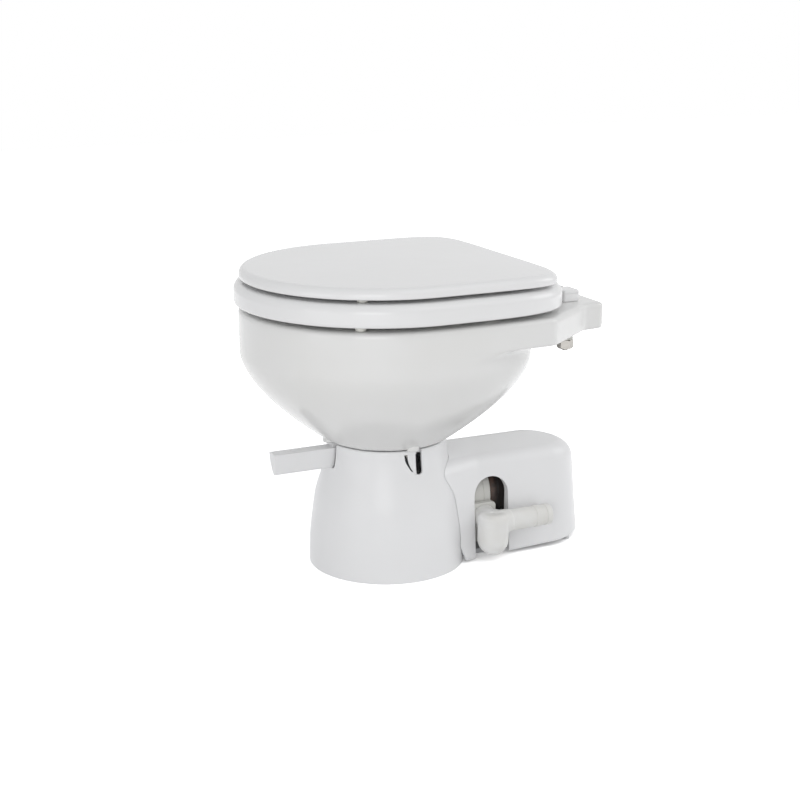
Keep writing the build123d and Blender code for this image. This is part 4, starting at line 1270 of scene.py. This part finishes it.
    def post(self) -> Piece:
        """Right-hand hinge post with the groove round its foot.

        Returns:
            The post.
        """
        start, end, y = self.post_start, self.post_start + self.post_width, self.hinge_y
        bends = [(start, y - 10, 2.2), (end, y - 10, 2.2), (end, y + 10, 2.2),
                 (start, y + 10, 2.2)]
        post = Bench.loft("post", [Draw.level(Draw.rounded(bends, 5), level)
                                   for level in (self.rim_level, self.post_top)])
        Bench.soften(post, 2.0, 4, 60)
        groove = Bench.block("groove", (start - 1, y - 11, 312.6), (end + 1, y + 11, 313.0))
        core = Bench.block("core", (start + 0.5, y - 9.5, 312), (end - 0.5, y + 9.5, 314))
        Bench.combine(groove, [core], "DIFFERENCE")
        return Bench.combine(post, [groove], "DIFFERENCE")

    def nut(self, x: float, y: float, level: float) -> Piece:
        """Hexagon nut with its corners turned off.

        Args:
            x: Place of its middle across the toilet.
            y: Place of its middle from front to rear.
            level: Height of its underside.

        Returns:
            The nut.
        """
        nut = Bench.loft("nut", [Draw.circle(9.5, (x, y, level + rise), count=HEXAGON)
                                 for rise in (0, self.nut_height)])
        trim = Bench.turned("trim", (x, y, level), Along.Z,
                            ((-0.1, 7.6), (1.6, 9.6), (9.4, 9.6), (11.1, 7.6)), 40)
        Bench.combine(nut, [trim], "INTERSECT")
        hole = Bench.rod("hole", (x, y, 240), Along.Z, 30, self.bolt_radius, 24)
        return Bench.combine(nut, [hole], "DIFFERENCE")

    def hinge(self) -> None:
        """Models the posts, pins, bolts, washers and nuts of the hinge."""
        y, x = self.hinge_y, self.post_start + self.post_width / 2
        pin = Bench.turned("pin", (self.lid_eye_start, y, self.hinge_level), Along.X,
                           ((0, 2.6), (0.4, 3), (52.6, 3), (53, 2.6)), 32)
        nut_level = self.washer_level - self.nut_height
        thread = [(0.7 + 0.6 * step, self.bolt_radius - 0.4 * (step % 2)) for step in range(34)]
        bolt = Bench.turned("bolt", (x, y, nut_level - 2.0), Along.Z,
                            [(0, 3.3), *thread, (58, self.bolt_radius), (58.1, 7.0), (60.1, 7.0)],
                            24)
        washer = Bench.turned(
            "washer", (x, y, self.washer_level), Along.Z,
            ((0, 4.1), (0, 8.6), (0.5, 9.0), (6.0, 8.1), (6.5, 7.6), (6.5, 4.1)), 48, Ends.WELDED)
        for name, piece, slot, node in (
                ("hinge_blocks", self.post(), Slot.SEAT_WHITE, "hinge_posts"),
                ("hinge_rods", pin, Slot.STAINLESS, "hinge_pins"),
                ("hinge_screws", bolt, Slot.STAINLESS, "hinge_bolts"),
                ("hinge_cones", washer, Slot.CLEAR_RUBBER, "hinge_washers"),
                ("hinge_hex_nuts", self.nut(x, y, nut_level), Slot.STAINLESS, "hinge_nuts")):
            both = Bench.joined(name, Bench.both_sides(piece)[::-1])
            self.hand_over(both, Body.BASE, slot, node)

    def build(self) -> None:
        """Models everything above the rim."""
        self.seat()
        self.lid()
        self.buttons("seat_buttons", Body.SEAT, "seat_bumpers", self.seat_level, 5.7,
                     ((120.75, -85.5), (125.58, 61.6)))
        self.buttons("lid_buttons", Body.LID, "lid_bumpers", self.lid_level, 3.7,
                     ((118.95, -82.5), (118.95, 66.0)))
        self.hinge()


# Pump, motor and discharge


@dataclass
class Pump(SubAssembly):
    """Pump stack, motor and discharge elbow behind the pedestal."""

    axis: float = 68.0
    screw_circle: float = 32.5
    port_y: float = 103.5
    port_level: float = 48.0
    elbow_x: float = 69.3
    elbow_face: float = 45.3
    elbow_radius: float = 18.0
    elbow_low: float = 10.0
    elbow_height: float = 50.5
    motor_start: float = 124.0
    cap_start: float = 214.0
    motor_radius: float = 31.0
    gland_level: float = 47.0

    def screw_places(self) -> Outline:
        """Gives X and Z of the four long pump screws."""
        turns = [math.radians(angle) for angle in (45, 135, 225, 315)]
        return [(self.screw_circle * math.cos(turn), self.axis + self.screw_circle * math.sin(turn))
                for turn in turns]

    def screw_holes(self, start: float) -> list[Piece]:
        """Solids that cut the holes for the long pump screws."""
        return [Bench.rod("hole", (x, start, z), Along.Y, 60, 2.0, 20)
                for x, z in self.screw_places()]

    def chopper(self) -> None:
        """Models the chopper housing and the pump screws."""
        profile = [(-14, 22.5), (-14, 18), (24, 18), (24, 35.4), (23.4, 36), (1, 36), (0, 35),
                   (0, 22.5)]
        body = Bench.turned("chopper_drum", (0, 64, self.axis), Along.Y, profile, 96, Ends.WELDED)
        Bench.combine(body, self.screw_holes(50), "DIFFERENCE")
        self.hand_over(body, Body.BASE, Slot.PUMP_WHITE, "chopper_housing")
        screws = []
        for x, z in self.screw_places():
            screw = Bench.turned(
                "screw", (x, 61.4, z), Along.Y,
                ((0, 2.6), (0.5, 3.2), (2.58, 3.2), (2.6, 2.0), (60.6, 2.0), (61.1, 1.4)), 24)
            socket = Bench.rod("socket", (x, 61, z), Along.Y, 1.8, 1.5, HEXAGON)
            screws.append(Bench.combine(screw, [socket], "DIFFERENCE"))
        self.hand_over(Bench.joined("pump_cap_screws", screws), Body.BASE, Slot.STAINLESS,
                       "pump_screws")

    def volute(self) -> None:
        """Models the impeller housing with its foot, port, flange and rib."""
        y, axis = self.port_y, self.axis
        body = Bench.turned(
            "pump_volute", (0, 91, axis), Along.Y,
            ((0, 35.5), (0.5, 36), (17.4, 36), (17.7, 35.2), (18.5, 35.2), (18.8, 36), (26.5, 36),
             (27, 35.5)), 96)
        port = Bench.rod("port", (0, y, self.port_level), Along.X, 38, 12.3, 48)
        square = [(y + across, self.port_level + up, 5) for across, up in
                  ((-16.5, -16.5), (16.5, -16.5), (16.5, 16.5), (-16.5, 16.5))]
        flange = Bench.prism("flange", Draw.rounded(square, 6), 37, 45)
        Bench.soften(flange, 0.6, angle=50)
        foot = Bench.block("foot", (-16, 96, 6), (16, 113, axis))
        rib = Bench.block("rib", (0, 91, axis), (41, 95, 86))
        Bench.combine(rib, [Bench.rod("trim", (0, 90, axis), Along.Y, 29, 41, 96)], "INTERSECT")
        Bench.combine(body, [port, flange, foot, rib])
        Bench.combine(body, [
            Bench.rod("chamber", (0, 78, axis), Along.Y, 36, 29, 64),
            Bench.rod("seal", (0, 100, axis), Along.Y, 40, 10, 40),
            Bench.rod("way", (13, y, self.port_level), Along.X, 50, 10.5, 40),
            *self.screw_holes(80)], "DIFFERENCE")
        Bench.soften(body, 0.5, angle=50)
        self.hand_over(body, Body.BASE, Slot.PUMP_WHITE, "impeller_housing")

    def motor(self) -> None:
        """Models the motor drum, its end cap and the cable gland."""
        outer = self.motor_radius
        groove = outer - 0.4
        drum = Bench.turned(
            "motor_drum", (0, self.motor_start, self.axis), Along.Y,
            ((0, outer), (6, outer), (6.4, groove), (7.0, groove), (7.4, outer), (83, outer),
             (83.4, groove), (84, groove), (84.4, outer), (90, outer), (90, 29), (0, 29)), 96,
            Ends.WELDED)
        cap = Bench.turned(
            "motor_cap", (0, self.cap_start, self.axis), Along.Y,
            ((0, 11), (0, outer), *((5 + rise, outer - inset)
                                    for inset, rise in Draw.quarter(3, 4)),
             (8, 13), (11.4, 13), (12, 12.4), (12, 2), (6, 2), (6, 11)), 96, Ends.WELDED)
        hole = Bench.rod("hole", (0, 208, self.gland_level), Along.Y, 30, 6)
        Bench.combine(cap, [hole], "DIFFERENCE")
        gland = Bench.turned(
            "gland_nut", (0, self.cap_start, self.gland_level), Along.Y,
            ((0, 3.2), (0, 6), (8, 6), (8, 7), (10.6, 7), (11, 6.4), (11, 6), (15, 6), (16, 4.4),
             (16, 3.2)), 36, Ends.WELDED)
        for piece, node in ((drum, "motor_can"), (cap, "motor_end_cap"), (gland, "cable_gland")):
            self.hand_over(piece, Body.BASE, Slot.MOTOR_BLACK, node)

    def elbow(self) -> None:
        """Models the discharge elbow: upright body, neck, spigot and barbed hose tail."""
        x, y, level, radius = self.elbow_x, self.port_y, self.port_level, self.elbow_radius
        radii = [radius * math.sin(math.pi / 2 * step / 10) for step in range(1, 11)]
        profile = [(radius - math.sqrt(max(radius ** 2 - out ** 2, 0)), out) for out in radii]
        profile += [(self.elbow_height - 7 + rise, radius - inset)
                    for inset, rise in Draw.quarter(7.0, 7)]
        body = Bench.turned("elbow_body", (x, y, self.elbow_low), Along.Z, profile, 72)
        Bench.combine(body, [
            Bench.turned("neck", (self.elbow_face, y, level), Along.X,
                         ((0, 14.1), (0.4, 14.5), (4, 14.5), (4.6, 13.9), (24, 13.9)), 56),
            Bench.turned("spigot", (self.elbow_face - 12, y, level), Along.X,
                         ((0, 8.6), (0.4, 9), (30, 9))),
            Bench.turned("tail", (x, y, level), Along.Y,
                         ((0, 13.5), (20, 13.5), (20.5, 13), (20.6, 12.5), (73.4, 12.5),
                          (74, 11.9)), 64)])
        Bench.combine(body, [
            Bench.rod("bore", (self.elbow_face - 20, y, level), Along.X, 43, 7, 40),
            Bench.rod("way", (x, y, level), Along.Y, 100, 9.5, 40)], "DIFFERENCE")
        Bench.cast(body, 0.8, 3)
        Bench.combine(body, [Bench.turned(
            "groove", (x, y, level), Along.Y,
            ((start, 11.7), (start, 14), (start + 7, 14), (start + 7, 12.4), (start + 6.9, 11.9)),
            64, Ends.WELDED) for start in (46, 60)], "DIFFERENCE")
        self.hand_over(body, Body.ELBOW, Slot.ELBOW_WHITE, "discharge_elbow", 40)

    def build(self) -> None:
        """Models the pump, the motor and the elbow."""
        self.chopper()
        self.volute()
        self.motor()
        self.elbow()


# Pieces that keep their CAD shape


@dataclass
class CarriedOver(SubAssembly):
    """CAD nodes that keep their shape and get their finish."""

    nodes: dict[Slot, tuple[str, ...]] = field(default_factory=lambda: {
        Slot.GREY_MOULDING: ("base_frame", "waste_sump"),
        Slot.BLACK_RUBBER: ("bowl_gasket", "bowl_outlet_seal", "pump_inlet_seal", "elbow_seal",
                            "shaft_seal", "motor_pads"),
        Slot.STAINLESS: ("skirt_screws", "motor_shaft", "motor_bearings", "cutter_plate",
                         "chopper_blade"),
        Slot.MOTOR_BLACK: ("motor_adapter", "brush_holders"),
        Slot.PUMP_WHITE: ("impeller",),
        Slot.LAMINATIONS: ("armature", "field_magnets"),
        Slot.CARBON: ("carbon_brushes",),
    })

    def dress(self, name: str, slot: Slot) -> None:
        """Gives one carried-over node its material.

        Args:
            name: Name of the CAD node.
            slot: The material slot it takes its finish from.
        """
        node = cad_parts[name]
        if not node.material_slots:
            node.data.materials.append(None)
        for material_slot in node.material_slots:
            material_slot.material = self.shop.material(slot)
        LOG.info("%s keeps its shape, finish %s", name, slot.value)

    def build(self) -> None:
        """Gives every carried-over node its material."""
        for slot, names in self.nodes.items():
            for name in names:
                self.dress(name, slot)


# Studio


@dataclass
class Studio:
    """Pale floor, soft light and the camera at the photograph's angle, in metres."""

    camera_place: Place = (1.5832, -0.7428, 0.6636)
    azimuth: float = 64.35
    pitch: float = 15.16
    lens: float = 71.44
    sensor: float = 36.0
    world_colour: Place = (0.985, 0.99, 1.0)
    world_strength: float = 0.58
    floor_size: float = 9.0
    floor_shade: float = 0.8
    floor_seen: float = 2.0
    floor_glow: float = 0.05
    aim: Place = (0.0, 0.0, 0.2)
    lamps: tuple[tuple[str, Place, float, float], ...] = (
        ("high_softbox", (1.4, 0.6, 2.0), 1.3, 3.6),
        ("camera_softbox", (1.9, -1.1, 0.7), 1.0, 9.4),
        ("front_softbox", (0.8, -2.1, 0.4), 1.0, 4.2),
        ("rear_softbox", (0.6, 2.2, 1.4), 1.3, 11.8),
    )

    def camera(self) -> None:
        """Creates the camera."""
        Bench.clear()
        turn = (math.radians(90 - self.pitch), 0, math.radians(self.azimuth))
        bpy.ops.object.camera_add(location=self.camera_place, rotation=turn)
        camera = bpy.context.active_object
        camera.data.lens = self.lens
        camera.data.sensor_width = self.sensor
        bpy.context.scene.camera = camera

    @staticmethod
    def seen_directly(tree: Tree) -> bpy.types.Node:
        """Value that is 1 where the camera, a gloss or a clear surface sees the shader.

        Args:
            tree: The node tree.

        Returns:
            The node that gives the value.
        """
        path = Nodes.add(tree, "LightPath")
        first, second = (Nodes.add(tree, "Math", {"operation": "MAXIMUM"}) for _ in range(2))
        Nodes.link(tree, (path, "Is Camera Ray", first, 0), (path, "Is Glossy Ray", first, 1),
                   (first, 0, second, 0), (path, "Is Transmission Ray", second, 1))
        return second

    def world(self) -> None:
        """Lights the scene evenly, and shows white behind it."""
        world = bpy.data.worlds.new("studio")
        bpy.context.scene.world = world
        world.use_nodes = True
        tree = world.node_tree
        tree.nodes.clear()
        light = Nodes.add(tree, "Background", Color=self.world_colour,
                          Strength=self.world_strength)
        shown = Nodes.add(tree, "Background", Color=(1.0, 1.0, 1.0), Strength=1.0)
        mix, output = Nodes.add(tree, "MixShader"), Nodes.add(tree, "OutputWorld")
        Nodes.link(tree, (self.seen_directly(tree), 0, mix, "Fac"), (light, 0, mix, 1),
                   (shown, 0, mix, 2), (mix, 0, output, "Surface"))

    def floor(self) -> None:
        """Lays a pale floor that keeps the object's shadow."""
        Bench.clear()
        bpy.ops.mesh.primitive_plane_add(size=self.floor_size)
        floor = bpy.context.active_object
        floor.name = "studio_floor"
        material = bpy.data.materials.new("studio_floor")
        material.use_nodes = True
        tree = material.node_tree
        tree.nodes.clear()
        matt, glow = Nodes.add(tree, "BsdfDiffuse"), Nodes.add(tree, "Emission")
        shade = Nodes.add(tree, "MapRange", To_Min=self.floor_shade, To_Max=self.floor_seen)
        strength = Nodes.add(tree, "Math", MULTIPLY)
        strength.inputs[1].default_value = self.floor_glow
        both, output = Nodes.add(tree, "AddShader"), Nodes.add(tree, "OutputMaterial")
        seen = self.seen_directly(tree)
        Nodes.link(tree, (seen, 0, strength, 0), (seen, 0, shade, "Value"),
                   (shade, "Result", matt, "Color"), (strength, 0, glow, "Strength"),
                   (matt, 0, both, 0), (glow, 0, both, 1), (both, 0, output, "Surface"))
        floor.data.materials.append(material)

    def lamp(self, name: str, place: Place, size: float, power: float) -> None:
        """Hangs one soft lamp that faces the object.

        Args:
            name: Name of the lamp.
            place: Where it hangs.
            size: Side of the lamp.
            power: Its power in watts.
        """
        Bench.clear()
        turn = (Vector(self.aim) - Vector(place)).to_track_quat("-Z", "Y").to_euler()
        bpy.ops.object.light_add(type="AREA", location=place, rotation=turn)
        lamp = bpy.context.active_object
        lamp.name = name
        lamp.data.size = size
        lamp.data.energy = power

    def build(self) -> None:
        """Sets up the camera, the light and the floor."""
        bpy.context.scene.view_settings.view_transform = "Standard"
        self.camera()
        self.world()
        self.floor()
        for lamp in self.lamps:
            self.lamp(*lamp)


def main() -> None:
    """Builds every sub-assembly in order."""
    logging.basicConfig(level=logging.INFO, format="%(name)s: %(message)s")
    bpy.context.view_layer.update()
    shop = FinishShop()
    pedestal = Pedestal(shop)
    for part in (Bowl(shop), pedestal, PumpCover(shop, pedestal), SeatAndLid(shop), Pump(shop),
                 CarriedOver(shop), Studio()):
        part.build()


if __name__ == "__main__":
    main()
